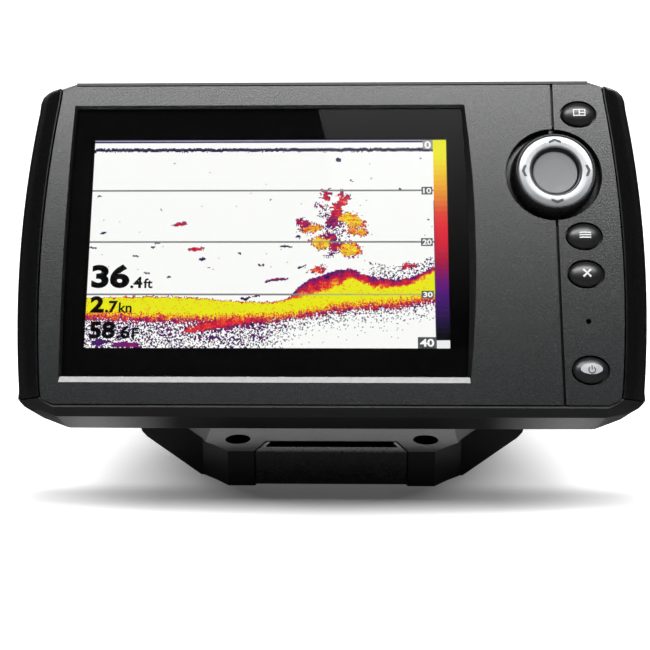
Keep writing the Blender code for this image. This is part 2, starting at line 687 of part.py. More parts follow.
FLEX = [(-42.8, -9.0), (-44.9, -9.0), (-45.4, -10.0), (-45.4, -12.6), (-44.6, -13.6), (-38.0, -13.6)]
flex_loop = FLEX + [(v + dv, h + dh) for (v, h), (dv, dh) in zip(reversed(FLEX), ((0, 0.4), (0.2, 0.4), (0.5, 0.2), (0.5, -0.2), (0.2, -0.45), (0, -0.45)))]
display_flex = plate("display_flex", [flex_loop], -18.0, 18.0)
display_flex.data.transform(Matrix(((0, 0, 1, 0), (1, 0, 0, 0), (0, 1, 0, 0), (0, 0, 0, 1))))
display_flex.data.transform(Matrix.Translation((SCREEN_U * MM, 0, 0)))

in_head(
    face_plate, keypad_panel, face_cut, nav_cut, front_housing, face_pocket, cavity, lens_pocket, lcd_window,
    nav_well, *key_wells, sensor_well, *bosses, top_lip, *pilots, side_trim_right, side_trim_left, trim_cut_r, trim_cut_l,
    lens, lens_mask, lens_gasket, lcd_panel, lcd_backlight, lcd_frame, keypad_membrane, *domes, *nubs, keypad_board,
    light_sensor, rear_housing, bulge, bulge_cavity, flange_cavity, seal_groove, *pivot_pads, *insert_holes, *through,
    *socket_holes, door_recess, knuckle_way, card_slot, pin_hole, vent_hole, *fins, housing_seal, card_socket, *pivot_inserts,
    main_board, processor, heat_spreader, sonar_transformer, supply_capacitor, display_flex,
)
for o in CUTTERS.objects:  # cutters made inline, which stand in the head frame like the piece they cut
    if o.parent is None and o.name.startswith(
        ("cut_lcd_frame", "cut_card_way", "cut_pivot_insert", "cut_board_hole", "cut_spreader")
    ):
        in_head(o)

# ---- bracket ---------------------------------------------------------------------------------------
FRONT_RIGHT = [
    (49.5, 0.0), (69.3, 15.2), (71.2, 17.4), (ARM_OUT, 20.4), (ARM_OUT, 90.0), (ARM_IN, 90.0), (ARM_IN, 27.6),
    (47.3, BASE_T),
]
front_profile = plate("mount_bracket", [mirrored(FRONT_RIGHT)], -40, 40)
front_profile.data.transform(Matrix.Rotation(math.pi / 2, 4, "X"))
mount_bracket = front_profile
plan = plate(
    "keep_plan",
    [
        mirrored(
            [(38.0, -32.0), (43.2, -26.6), (48.6, -22.0), (80.0, -22.0), (80.0, 24.0), (48.6, 24.0), (43.2, 28.0), (38.0, 32.0)]
        )
    ],
    -10,
    100,
    cutter=True,
)
arc = [
    (PIVOT_Y + BOSS_R * math.cos(math.radians(a)), PIVOT_Z + BOSS_R * math.sin(math.radians(a)))
    for a in (-12, 12, 36, 60, 84, 108, 132, 156, 180, 190)
]
side = plate(
    "keep_side",
    [[(-34.0, -5.0), (34.0, -5.0), (34.0, 15.0), (24.0, 20.0)] + arc + [(-22.0, 62.0), (-22.0, 20.0), (-34.0, 15.0)]],
    -80,
    80,
    cutter=True,
)
side.data.transform(Matrix(((0, 0, 1, 0), (1, 0, 0, 0), (0, 1, 0, 0), (0, 0, 0, 1))))
boolean(mount_bracket, plan, "INTERSECT")
boolean(mount_bracket, side, "INTERSECT")
foot_cutters = []
for i, (sx, sy) in enumerate(((1, -1), (-1, -1), (1, 1), (-1, 1)), 1):
    x, y = sx * FOOT_HOLE_X, sy * FOOT_HOLE_Y
    foot_cutters.append(rod(f"cut_foot_recess_{i}", FOOT_HOLE_R, (x, y, 14.0), 20.0, segments=28, cutter=True))
    foot_cutters.append(rod(f"cut_foot_bore_{i}", FOOT_BORE_R, (x, y, 5), 20, segments=16, cutter=True))
for i, sx in enumerate((-1, 1), 1):
    foot_cutters.append(
        box(f"cut_core_{i}", (min(sx * 6, sx * 27), -15.0, -1), (max(sx * 6, sx * 27), 27.0, 10.4), cutter=True)
    )
    foot_cutters.append(
        box(f"cut_side_core_{i}", (min(sx * 31, sx * 44), -10.0, -1), (max(sx * 31, sx * 44), 10.0, 10.4), cutter=True)
    )
    foot_cutters.append(rod(f"cut_arm_hole_{i}", 3.4, (sx * 70, PIVOT_Y, PIVOT_Z), 20, "X", 20, cutter=True))
insert_pocket = plate(
    "cut_insert_pocket", [[(-28.9, -34.0), (28.9, -34.0), (24.7, -22.0), (-24.7, -22.0)]], -2, 20, cutter=True
)
cut(mount_bracket, *foot_cutters, insert_pocket)

base_insert = plate(
    "base_insert",
    [
        [
            (-27.9, -31.75), (27.9, -31.75), (24.35, -22.3), (22.9, -22.3), (24.6, -27.3),
            (-24.6, -27.3), (-22.9, -22.3), (-24.35, -22.3),
        ]
    ],
    0.5,
    BASE_T - 0.15,
)

arm_washers, knobs, studs = [], [], []
for s, sx in (("left", -1), ("right", 1)):
    washer = rod(f"arm_washer_{s}", 11.0, (sx * 64.65, 0, 0), 1.2, "X", 28)
    cut(washer, rod(f"cut_arm_washer_{s}", 3.5, (sx * 64.65, 0, 0), 5, "X", 20, cutter=True))
    lobes = [
        (
            (KNOB_R + 1.1 * math.cos(6 * a)) * math.cos(a),
            (KNOB_R + 1.1 * math.cos(6 * a)) * math.sin(a),
        )
        for a in (math.tau * i / 36 for i in range(36))
    ]
    knob = loft(
        f"knob_{s}",
        [
            [(x * 0.68, y * 0.68, 0.0) for x, y in lobes],
            [(x * 0.70, y * 0.70, 1.8) for x, y in lobes],
            [(x, y, 3.2) for x, y in lobes],
            [(x, y, 9.8) for x, y in lobes],
            [(x * 0.88, y * 0.88, 11.6) for x, y in lobes],
        ],
    )
    socket = rod(f"cut_knob_{s}", 3.15, (0, 0, 2.6), 6.4, segments=20, cutter=True)
    for o in (knob, socket):
        o.data.transform(Matrix.Translation((72.4 * MM, 0, 0)) @ Matrix.Rotation(math.pi / 2, 4, "Y"))
        if sx < 0:
            o.data.transform(Matrix.Rotation(math.pi, 4, "Z"))
    cut(knob, socket)
    stud = rod(f"knob_stud_{s}", 2.9, (sx * 66.6, 0, 0), 22.4, "X", 20)
    for o in (washer, knob, socket, stud, bpy.data.objects[f"cut_arm_washer_{s}"]):
        o.parent = root
        o.location = (0, PIVOT_Y * MM, PIVOT_Z * MM)
    arm_washers.append(washer)
    knobs.append(knob)
    studs.append(stud)

for o in (mount_bracket, plan, side, *foot_cutters, insert_pocket, base_insert):
    o.parent = root

# ---- materials and shading ---------------------------------------------------------------------
finish(face_plate, "charcoal_textured")
finish(keypad_panel, "charcoal_textured")
finish(front_housing, "black_moulded")
finish(side_trim_left, "black_satin", 25)
finish(side_trim_right, "black_satin", 25)
finish(lens, "clear_window")
finish(lens_mask, "black_print")
finish(lens_gasket, "seal_rubber")
finish(lcd_panel, "display_lit")
finish(lcd_backlight, "white_plastic")
finish(lcd_frame, "steel")
for o in key_objects.values():
    finish(o, "key_rubber", 40)
finish(nav_rocker, "black_gloss", 35)
finish(nav_ring, "silver_paint", 35)
finish(nav_pivot, "seal_rubber", 35)
finish(keypad_membrane, "silicone_grey")
finish(keypad_board, "board_green")
finish(light_sensor, "component_black", 35)
finish(rear_housing, "black_moulded")
finish(housing_seal, "seal_rubber")
for o in housing_screws + main_board_screws + studs:
    finish(o, "steel", 35)
for o in socket_objects:
    finish(o, "component_black", 35)
finish(vent_plug, "component_black", 35)
finish(card_door, "seal_rubber")
finish(card_door_pin, "steel", 35)
finish(card_socket, "steel")
for o in pivot_inserts:
    finish(o, "brass", 35)
finish(main_board, "board_green")
finish(processor, "component_black")
finish(heat_spreader, "aluminium")
finish(sonar_transformer, "component_black")
finish(sounder, "component_black", 35)
finish(supply_capacitor, "aluminium", 35)
finish(display_flex, "flex_amber")
finish(mount_bracket, "black_moulded")
finish(base_insert, "black_moulded")
for o in arm_washers:
    finish(o, "seal_rubber", 35)
for o in knobs:
    finish(o, "black_moulded", 35)
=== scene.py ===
"""Looks of the fish finder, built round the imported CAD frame. Metres, +Z up, row frame.

Detailed pieces are modelled in the head's own frame (u right, v up along the face, h out of the face,
in millimetres from the centre of the display) and stored in row coordinates, so every object keeps an
identity transform and rides on its CAD body.
"""
import json
import math

import bmesh
import bpy
from mathutils import Matrix, Vector, noise


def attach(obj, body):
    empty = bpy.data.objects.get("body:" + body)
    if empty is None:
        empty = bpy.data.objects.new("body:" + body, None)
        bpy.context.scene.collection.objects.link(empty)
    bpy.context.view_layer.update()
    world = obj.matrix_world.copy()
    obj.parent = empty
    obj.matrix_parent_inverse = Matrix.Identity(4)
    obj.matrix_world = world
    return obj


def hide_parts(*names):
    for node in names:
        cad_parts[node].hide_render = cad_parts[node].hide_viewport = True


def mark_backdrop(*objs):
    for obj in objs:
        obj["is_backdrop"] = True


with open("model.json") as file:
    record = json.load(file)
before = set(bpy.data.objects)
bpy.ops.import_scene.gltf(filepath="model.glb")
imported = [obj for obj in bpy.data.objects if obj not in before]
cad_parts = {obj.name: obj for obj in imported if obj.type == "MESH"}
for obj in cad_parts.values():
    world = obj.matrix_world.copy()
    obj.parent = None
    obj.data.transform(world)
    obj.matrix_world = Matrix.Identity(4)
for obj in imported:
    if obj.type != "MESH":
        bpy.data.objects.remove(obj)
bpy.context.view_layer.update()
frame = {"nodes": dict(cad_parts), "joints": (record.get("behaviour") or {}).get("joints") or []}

NODES = frame["nodes"]
JOINTS = {j["name"]: j for j in frame["joints"]}
MM = 0.001

PIVOT = Vector(JOINTS["head_tilt"]["pos_m"]) / MM
UP_AXIS = Vector(JOINTS["nav_rock_sideways"]["axis"])
SIN, COS = UP_AXIS.y, UP_AXIS.z
PIVOT_V, PIVOT_H = -4.0, -40.0
HEAD = Matrix((
    (1, 0, 0, 0),
    (0, SIN, -COS, PIVOT.y - (PIVOT_V * SIN - PIVOT_H * COS)),
    (0, COS, SIN, PIVOT.z - (PIVOT_V * COS + PIVOT_H * SIN)),
    (0, 0, 0, 1),
))
TO_ROW = Matrix.Scale(MM, 4) @ HEAD  # head millimetres to row metres
PLAIN = Matrix.Scale(MM, 4)  # row millimetres to row metres

coll = bpy.data.collections.new("looks")
bpy.context.scene.collection.children.link(coll)


# ================================================================ materials
class Sock:
    """A value in a node tree that can be used in ordinary arithmetic."""

    def __init__(self, sh, s):
        self.sh, self.s = sh, s

    def __add__(self, o): return self.sh.m("ADD", self, o)
    def __radd__(self, o): return self.sh.m("ADD", o, self)
    def __sub__(self, o): return self.sh.m("SUBTRACT", self, o)
    def __rsub__(self, o): return self.sh.m("SUBTRACT", o, self)
    def __mul__(self, o): return self.sh.m("MULTIPLY", self, o)
    def __rmul__(self, o): return self.sh.m("MULTIPLY", o, self)
    def __truediv__(self, o): return self.sh.m("DIVIDE", self, o)
    def __gt__(self, o): return self.sh.m("GREATER_THAN", self, o)
    def __lt__(self, o): return self.sh.m("LESS_THAN", self, o)
    def __neg__(self): return self.sh.m("MULTIPLY", self, -1.0)


class Shader:
    """A material and short calls that add nodes to it."""

    def __init__(self, name):
        self.mat = bpy.data.materials.new(name)
        self.mat.use_nodes = True
        self.t = self.mat.node_tree
        self.p = self.t.nodes["Principled BSDF"]

    def new(self, kind, **props):
        n = self.t.nodes.new(kind)
        for k, v in props.items():
            setattr(n, k, v)
        return n

    def put(self, socket, value):
        if isinstance(value, Sock):
            self.t.links.new(value.s, socket)
        elif isinstance(value, bpy.types.NodeSocket):
            self.t.links.new(value, socket)
        elif value is not None:
            socket.default_value = value

    def m(self, op, *a, clamp=False):
        n = self.new("ShaderNodeMath", operation=op, use_clamp=clamp)
        for i, v in enumerate(a):
            self.put(n.inputs[i], v)
        return Sock(self, n.outputs[0])

    def coords(self, scale=(1, 1, 1), rot=(0, 0, 0), loc=(0, 0, 0)):
        tc = self.new("ShaderNodeTexCoord")
        mp = self.new("ShaderNodeMapping")
        mp.inputs["Scale"].default_value = scale
        mp.inputs["Rotation"].default_value = rot
        mp.inputs["Location"].default_value = loc
        self.t.links.new(tc.outputs["Object"], mp.inputs["Vector"])
        return mp.outputs[0]

    def noise(self, vec, scale, detail=2.0, rough=0.5, distortion=0.0, dims="3D", w=None):
        n = self.new("ShaderNodeTexNoise", noise_dimensions=dims)
        if vec is not None:
            self.put(n.inputs["Vector"], vec)
        if w is not None:
            self.put(n.inputs["W"], w)
        n.inputs["Scale"].default_value = scale
        n.inputs["Detail"].default_value = detail
        n.inputs["Roughness"].default_value = rough
        n.inputs["Distortion"].default_value = distortion
        return Sock(self, n.outputs[0])

    def voronoi(self, vec, scale, feature="F1", randomness=1.0):
        n = self.new("ShaderNodeTexVoronoi", feature=feature)
        self.put(n.inputs["Vector"], vec)
        n.inputs["Scale"].default_value = scale
        n.inputs["Randomness"].default_value = randomness
        return Sock(self, n.outputs["Distance"])

    def white(self, x, y, z=0.0):
        c = self.new("ShaderNodeCombineXYZ")
        for i, v in enumerate((x, y, z)):
            self.put(c.inputs[i], v)
        n = self.new("ShaderNodeTexWhiteNoise", noise_dimensions="3D")
        self.t.links.new(c.outputs[0], n.inputs["Vector"])
        return Sock(self, n.outputs["Value"])

    def xyz(self, x, y, z=0.0):
        c = self.new("ShaderNodeCombineXYZ")
        for i, v in enumerate((x, y, z)):
            self.put(c.inputs[i], v)
        return c.outputs[0]

    def remap(self, v, a, b, c=0.0, d=1.0, smooth=False):
        n = self.new("ShaderNodeMapRange", interpolation_type="SMOOTHSTEP" if smooth else "LINEAR")
        self.put(n.inputs[0], v)
        for i, x in enumerate((a, b, c, d), 1):
            self.put(n.inputs[i], x)
        return Sock(self, n.outputs[0])

    def ramp(self, v, stops, interpolation="LINEAR"):
        n = self.new("ShaderNodeValToRGB")
        n.color_ramp.interpolation = interpolation
        e = n.color_ramp.elements
        while len(e) < len(stops):
            e.new(0.5)
        for el, (pos, col) in zip(e, stops):
            el.position = pos
            el.color = (*col, 1) if len(col) == 3 else col
        self.put(n.inputs[0], v)
        return n.outputs[0]

    def mix(self, f, a, b):
        n = self.new("ShaderNodeMix", data_type="RGBA")
        self.put(n.inputs[0], f)
        for sock, v in ((n.inputs[6], a), (n.inputs[7], b)):
            if isinstance(v, tuple):
                sock.default_value = (*v, 1) if len(v) == 3 else v
            else:
                self.put(sock, v)
        return n.outputs[2]

    def bump(self, height, strength, distance, under=None):
        n = self.new("ShaderNodeBump")
        n.inputs["Strength"].default_value = strength
        n.inputs["Distance"].default_value = distance
        self.put(n.inputs["Height"], height)
        if under is not None:
            self.t.links.new(under, n.inputs["Normal"])
        return n.outputs[0]

    def edge(self, radius=0.0006):
        """0 on flat surfaces, near 1 close to a sharp outer edge: pointiness read from the bevelled normal."""
        b = self.new("ShaderNodeBevel", samples=4)
        b.inputs["Radius"].default_value = radius
        g = self.new("ShaderNodeNewGeometry")
        d = self.new("ShaderNodeVectorMath", operation="DOT_PRODUCT")
        self.t.links.new(b.outputs[0], d.inputs[0])
        self.t.links.new(g.outputs["Normal"], d.inputs[1])
        return self.remap(Sock(self, d.outputs["Value"]), 0.995, 0.9, 0.0, 1.0)


def plastic(name, colour, rough=0.45, grain=0.0, grain_scale=1400.0, spec=0.5, variation=0.12, coat=0.0, coat_rough=0.1,
            wear=0.0, rough_var=0.08, worn=None):
    """Moulded plastic: slight colour drift, spark-eroded grain, uneven gloss and brighter rubbed edges."""
    s = Shader(name)
    vec = s.coords()
    drift = s.noise(vec, 45.0, 3.0, 0.55)
    fine = s.noise(vec, grain_scale, 3.0, 0.6)
    dark = tuple(c * (1 - variation) for c in colour)
    light = tuple(min(1.0, c * (1 + variation)) for c in colour)
    col = s.mix(drift, dark, light)
    if wear:
        pts = s.new("ShaderNodeNewGeometry")
        pt = s.remap(Sock(s, pts.outputs["Pointiness"]), 0.505, 0.56) * s.remap(s.noise(vec, 260.0, 4.0, 0.6), 0.38, 0.62)
        col = s.mix(pt * wear, col, worn or tuple(min(1.0, c * 2.6 + 0.02) for c in colour))
    s.put(s.p.inputs["Base Color"], col)
    s.put(s.p.inputs["Roughness"], s.remap(s.noise(vec, 520.0, 4.0, 0.6), 0.25, 0.75, rough - rough_var, rough + rough_var))
    s.p.inputs["Specular IOR Level"].default_value = spec
    if coat:
        s.p.inputs["Coat Weight"].default_value = coat
        s.p.inputs["Coat Roughness"].default_value = coat_rough
    if grain:
        s.put(s.p.inputs["Normal"], s.bump(fine, grain, 0.00012))
    return s.mat


def metal(name, colour, rough=0.28, brushed=0.35, scale=(60, 900, 900)):
    s = Shader(name)
    vec = s.coords(scale)
    streak = s.noise(vec, 1.0, 4.0, 0.6)
    cloud = s.noise(s.coords(), 90.0, 3.0)
    s.put(s.p.inputs["Base Color"], s.mix(cloud, tuple(c * 0.82 for c in colour), colour))
    s.p.inputs["Metallic"].default_value = 1.0
    s.put(s.p.inputs["Roughness"], s.remap(streak, 0.2, 0.8, rough * 0.7, rough * 1.4))
    s.put(s.p.inputs["Normal"], s.bump(streak, brushed, 0.00003))
    return s.mat


def textured_face():
    """Charcoal moulding with a fine leather grain, as struck in the tool."""
    s = Shader("charcoal_leather_grain")
    # the grain lies in the plane of the face
    vec = s.coords(rot=(-math.atan2(COS, SIN), 0, 0))
    wv = s.new("ShaderNodeVectorMath", operation="ADD")
    sc = s.new("ShaderNodeVectorMath", operation="SCALE")
    nz = s.new("ShaderNodeTexNoise")
    nz.inputs["Scale"].default_value = 1100.0
    nz.inputs["Detail"].default_value = 2.0
    s.t.links.new(vec, nz.inputs["Vector"])
    s.t.links.new(nz.outputs["Color"], sc.inputs[0])
    sc.inputs["Scale"].default_value = 0.0005
    s.t.links.new(vec, wv.inputs[0])
    s.t.links.new(sc.outputs[0], wv.inputs[1])
    cells = s.voronoi(wv.outputs[0], 1900.0, "DISTANCE_TO_EDGE", 0.95)
    big = s.voronoi(wv.outputs[0], 900.0, "DISTANCE_TO_EDGE", 0.9)
    pebble = s.remap(cells, 0.0, 0.22, 0.0, 1.0, smooth=True) * 0.55 + s.remap(big, 0.0, 0.3, 0.0, 1.0, smooth=True) * 0.45
    fine = s.noise(vec, 4200.0, 3.0, 0.6)
    height = pebble * 0.7 + fine * 0.6
    drift = s.noise(vec, 1500.0, 2.0, 0.6)
    col = s.mix(drift, (0.0100, 0.0110, 0.0116), (0.0125, 0.0136, 0.0142))
    # darker in the grooves between the grain's pebbles: painted shade in the hollows of the grain
    col = s.mix(s.remap(pebble, 0.0, 0.7, 0.35, 0.0), col, (0.0045, 0.0050, 0.0054))
    s.put(s.p.inputs["Base Color"], col)
    s.put(s.p.inputs["Roughness"], s.remap(fine, 0.25, 0.75, 0.24, 0.33))
    s.p.inputs["Specular IOR Level"].default_value = 0.52
    s.put(s.p.inputs["Normal"], s.bump(height, 0.48, 0.00006))
    return s.mat


def silver_paint():
    s = Shader("silver_ring_paint")
    vec = s.coords()
    flake = s.voronoi(vec, 7000.0)
    cloud = s.noise(vec, 120.0, 3.0)
    col = s.mix(flake, (0.27, 0.28, 0.29), (0.35, 0.36, 0.37))
    col = s.mix(s.remap(cloud, 0.3, 0.7, 0.0, 0.10), col, (0.28, 0.29, 0.30))
    s.put(s.p.inputs["Base Color"], col)
    s.p.inputs["Metallic"].default_value = 0.6
    s.put(s.p.inputs["Roughness"], s.remap(s.noise(vec, 300.0, 4.0), 0.3, 0.7, 0.27, 0.36))
    s.put(s.p.inputs["Normal"], s.bump(flake, 0.10, 0.00002))
    return s.mat


def window_glass():
    s = Shader("window_glass")
    vec = s.coords()
    smear = s.noise(vec, 60.0, 5.0, 0.65, 0.6)
    s.p.inputs["Base Color"].default_value = (0.96, 0.97, 0.98, 1)
    s.p.inputs["Transmission Weight"].default_value = 1.0
    s.p.inputs["IOR"].default_value = 1.49
    s.put(s.p.inputs["Roughness"], s.remap(smear, 0.35, 0.75, 0.0, 0.035))
    return s.mat


def print_black():
    s = Shader("black_back_print")
    vec = s.coords()
    s.put(s.p.inputs["Base Color"], s.mix(s.noise(vec, 500.0, 3.0), (0.0016, 0.0016, 0.0018), (0.003, 0.003, 0.0032)))
    s.put(s.p.inputs["Roughness"], s.remap(s.noise(vec, 300.0, 3.0), 0.3, 0.7, 0.45, 0.6))
    s.p.inputs["Specular IOR Level"].default_value = 0.0
    return s.mat


def srgb(r, g, b):
    """Linear values of a display colour given as 0..255."""
    return tuple((c / 255 / 12.92 if c <= 10 else ((c / 255 + 0.055) / 1.055) ** 2.4) for c in (r, g, b))


# signal strength to colour, weakest first; the same scale is drawn as the bar beside the picture
SIGNAL = [
    (0.00, srgb(3, 3, 7)), (0.05, srgb(26, 15, 48)), (0.13, srgb(52, 20, 88)), (0.20, srgb(74, 18, 116)),
    (0.28, srgb(108, 20, 116)), (0.36, srgb(156, 17, 64)), (0.45, srgb(208, 20, 50)), (0.55, srgb(228, 28, 50)),
    (0.62, srgb(226, 62, 46)), (0.69, srgb(229, 120, 45)), (0.77, srgb(239, 168, 32)), (0.86, srgb(242, 208, 34)),
    (0.93, srgb(240, 234, 30)), (1.00, srgb(233, 232, 16)),
]
BAR_X0 = 0.9625


def echogram():
    """A made-up sonar chart on a coarse pixel grid: surface clutter, grid lines, weed bed, fish marks, bottom echo, noise."""
    s = Shader("echogram_lit")
    uv = s.new("ShaderNodeUVMap", uv_map="screen")
    sep = s.new("ShaderNodeSeparateXYZ")
    s.t.links.new(uv.outputs[0], sep.inputs[0])
    X0, Y0 = Sock(s, sep.outputs[0]), 1.0 - Sock(s, sep.outputs[1])
    NX, NY = 400.0, 240.0
    X = (s.m("FLOOR", X0 * NX) + 0.5) / NX
    Y = (s.m("FLOOR", Y0 * NY) + 0.5) / NY
    rnd = s.white(X * 977.0, Y * 611.0, 3.0)
    rnd2 = s.white(X * 531.0, Y * 877.0, 9.0)
    col_rnd = s.white(X * 719.0, 0.0, 5.0)

    def field(fx, fy, z, detail=2.0, lo=0.32, hi=0.68):
        """Smooth noise of about 1/fx by 1/fy of the picture, stretched to 0..1."""
        return s.remap(s.noise(s.xyz(X * fx, Y * fy, z), 1.0, detail, 0.6), lo, hi)

    grit = field(150.0, 90.0, 1.0)
    ragged_x, ragged_y = field(85.0, 52.0, 11.0), field(85.0, 52.0, 17.0)
    lumps = field(46.0, 28.0, 23.0)
    streaks = field(55.0, 95.0, 31.0)

    def clamp01(v):
        return s.m("MAXIMUM", s.m("MINIMUM", v, 1.0), 0.0)

    def band(v, a, b):
        return (v > a) * (v < b)

    def profile(pts):
        c = s.new("ShaderNodeFloatCurve")
        cm = c.mapping.curves[0]
        while len(cm.points) < len(pts):
            cm.points.new(0.5, 0.5)
        for p, (x, y) in zip(cm.points, pts):
            p.location = (x, y)
        c.mapping.update()
        s.put(c.inputs["Value"], X)
        return Sock(s, c.outputs[0])

    def most(*v):
        out = v[0]
        for x in v[1:]:
            out = s.m("MAXIMUM", out, x)
        return out

    def blob(x, y, a, b, ang, st, px, py, slope=1.7):
        dx = (px - x) / a
        dy = (py - y + math.tan(math.radians(ang)) * 1.66 * (px - x)) / b
        return clamp01((1.0 - (dx * dx + dy * dy)) * slope) * st

    top = profile([(0.0, 0.770), (0.15, 0.766), (0.275, 0.768), (0.35, 0.776), (0.414, 0.785), (0.478, 0.790), (0.524, 0.789),
                   (0.552, 0.778), (0.615, 0.754), (0.652, 0.737), (0.698, 0.709), (0.735, 0.678), (0.768, 0.702), (0.823, 0.721),
                   (0.882, 0.709), (0.929, 0.678), (0.962, 0.640), (1.0, 0.62)])
    crest = profile([(0.0, 0.766), (0.275, 0.763), (0.42, 0.781), (0.478, 0.785), (0.533, 0.780), (0.551, 0.771), (0.583, 0.721), (0.61, 0.682),
                     (0.652, 0.658), (0.693, 0.634), (0.735, 0.630), (0.763, 0.654), (0.814, 0.673), (0.883, 0.673), (0.929, 0.643),
                     (0.962, 0.617), (1.0, 0.60)])
    foot = profile([(0.0, 0.830), (0.075, 0.834), (0.167, 0.838), (0.26, 0.842), (0.35, 0.846), (0.44, 0.842), (0.49, 0.842), (0.584, 0.826),
                    (0.675, 0.799), (0.767, 0.780), (0.86, 0.772), (0.905, 0.760), (0.955, 0.749), (1.0, 0.74)])
    jit = (rnd - 0.5) * 0.006 + (ragged_y - 0.5) * 0.010
    jit_low = (rnd - 0.5) * 0.016 + (col_rnd - 0.5) * 0.016 + (ragged_y - 0.5) * 0.014
    y_top, y_crest, y_foot = top + jit * 1.6, crest + jit, foot + jit_low
    into = clamp01((Y - y_crest) / s.m("MAXIMUM", y_top - y_crest, 0.004))
    upper = (Y > y_crest) * (0.20 + into * 0.52 + (rnd - 0.5) * 0.34 + (lumps - 0.5) * 0.30)
    core = (Y > y_top) * (0.985 - (rnd2 > 0.972) * 0.28 - (into < 1.0) * 0.1)
    out = (Y - y_foot) / 0.040
    lower = clamp01(0.86 - out * 0.62 + (rnd - 0.5) * 0.30 + (lumps - 0.5) * 0.24) * (out < 1.0)
    inside = (Y < y_foot)
    bottom = s.m("MULTIPLY", most(upper * (Y < y_top), core), inside)
    bottom = most(bottom, lower * (Y > y_foot))
    # noise under the bottom: dense on the left, sparse and shallow under the bank
    depth = Y - foot - 0.030
    side = s.remap(X, 0.46, 0.62, 0.0, 1.0, smooth=True)
    dense = s.remap(depth, 0.0, 0.16, 0.56, 0.44)
    thin = s.remap(depth, 0.0, 0.13, 0.52, 0.07)
    amount = (dense + (thin - dense) * side) * s.remap(lumps, 0.0, 1.0, 0.72, 1.22)
    pick = grit * 0.62 + rnd2 * 0.38
    over = pick - (1.0 - amount)
    speck = (over > 0.0) * (depth > 0.0) * (0.035 + clamp01(over) * 0.75 + (rnd > 0.90) * 0.10)
    # the weak cloud over the bank
    cloud_amt = s.remap(X, 0.745, 0.80, 0.0, 0.40, smooth=True) * (Y > crest - 0.062 + (X - 0.86) * 0.10)
    over2 = pick - (1.0 - cloud_amt)
    cloud = (over2 > 0.0) * (Y < y_crest + 0.01) * (cloud_amt > 0.01) * (0.04 + clamp01(over2) * 0.9)
    # a slanting second return
    slant = profile([(0.0, 0.98), (0.269, 0.923), (0.31, 0.908), (0.351, 0.892), (0.42, 0.869), (0.478, 0.848), (1.0, 0.80)])
    off = s.m("ABSOLUTE", Y - slant + (ragged_y - 0.5) * 0.022) / s.remap(X, 0.262, 0.40, 0.010, 0.036)
    second = clamp01((1.0 - off * off) * 1.6) * 0.52 * band(X + (ragged_x - 0.5) * 0.02, 0.268, 0.50)
    second = (second > 0.03) * clamp01(second + (rnd - 0.5) * 0.26 + (lumps - 0.5) * 0.20)
    # weed bed: ragged echoes, each (x, y, half width, half height, slope in degrees, strength)
    weeds = [
        (0.660, 0.273, 0.0150, 0.034, 0, 0.50), (0.703, 0.263, 0.0120, 0.018, 0, 0.38), (0.710, 0.299, 0.0220, 0.021, 32, 0.55),
        (0.649, 0.330, 0.0190, 0.017, -25, 0.36), (0.654, 0.371, 0.0150, 0.011, 10, 0.20), (0.690, 0.352, 0.0180, 0.040, 0, 0.48),
        (0.726, 0.385, 0.0350, 0.027, -8, 0.86), (0.740, 0.407, 0.0330, 0.022, -8, 0.84), (0.600, 0.411, 0.0230, 0.022, -10, 0.40),
        (0.621, 0.436, 0.0340, 0.021, 5, 0.78), (0.748, 0.451, 0.0330, 0.020, -8, 0.78), (0.680, 0.400, 0.0220, 0.036, 0, 0.36),
        (0.647, 0.504, 0.0300, 0.032, -8, 0.86), (0.670, 0.482, 0.0240, 0.031, 0, 0.38), (0.728, 0.536, 0.0330, 0.040, -5, 0.86),
        (0.675, 0.563, 0.0150, 0.013, 10, 0.30), (0.683, 0.519, 0.0250, 0.027, 0, 0.42), (0.638, 0.633, 0.0260, 0.017, 5, 0.58),
        (0.893, 0.615, 0.0250, 0.014, 3, 0.50),
    ]
    wx, wy = X + (ragged_x - 0.5) * 0.020 + (rnd - 0.5) * 0.006, Y + (ragged_y - 0.5) * 0.026 + (rnd2 - 0.5) * 0.010
    w = most(*[blob(*b, wx, wy, 2.2) for b in weeds])
    weed = (w > 0.03) * clamp01(w + (streaks - 0.5) * 0.30 + (rnd - 0.5) * 0.20 - 0.03)
    stem = blob(0.684, 0.440, 0.034, 0.088, 0, 1.0, X, Y, 2.0) * 0.46
    over3 = pick - (1.0 - stem)
    stems = (over3 > 0.0) * (stem > 0.02) * (0.06 + clamp01(over3) * 1.1)
    halo = most(*[blob(x, y, a * 1.5, b * 1.6, g, 1.0, X, Y, 1.2) for x, y, a, b, g, st in weeds if st > 0.7]) * 0.30
    over4 = pick - (1.0 - halo)
    halos = (over4 > 0.0) * (halo > 0.02) * (0.05 + clamp01(over4) * 0.9)
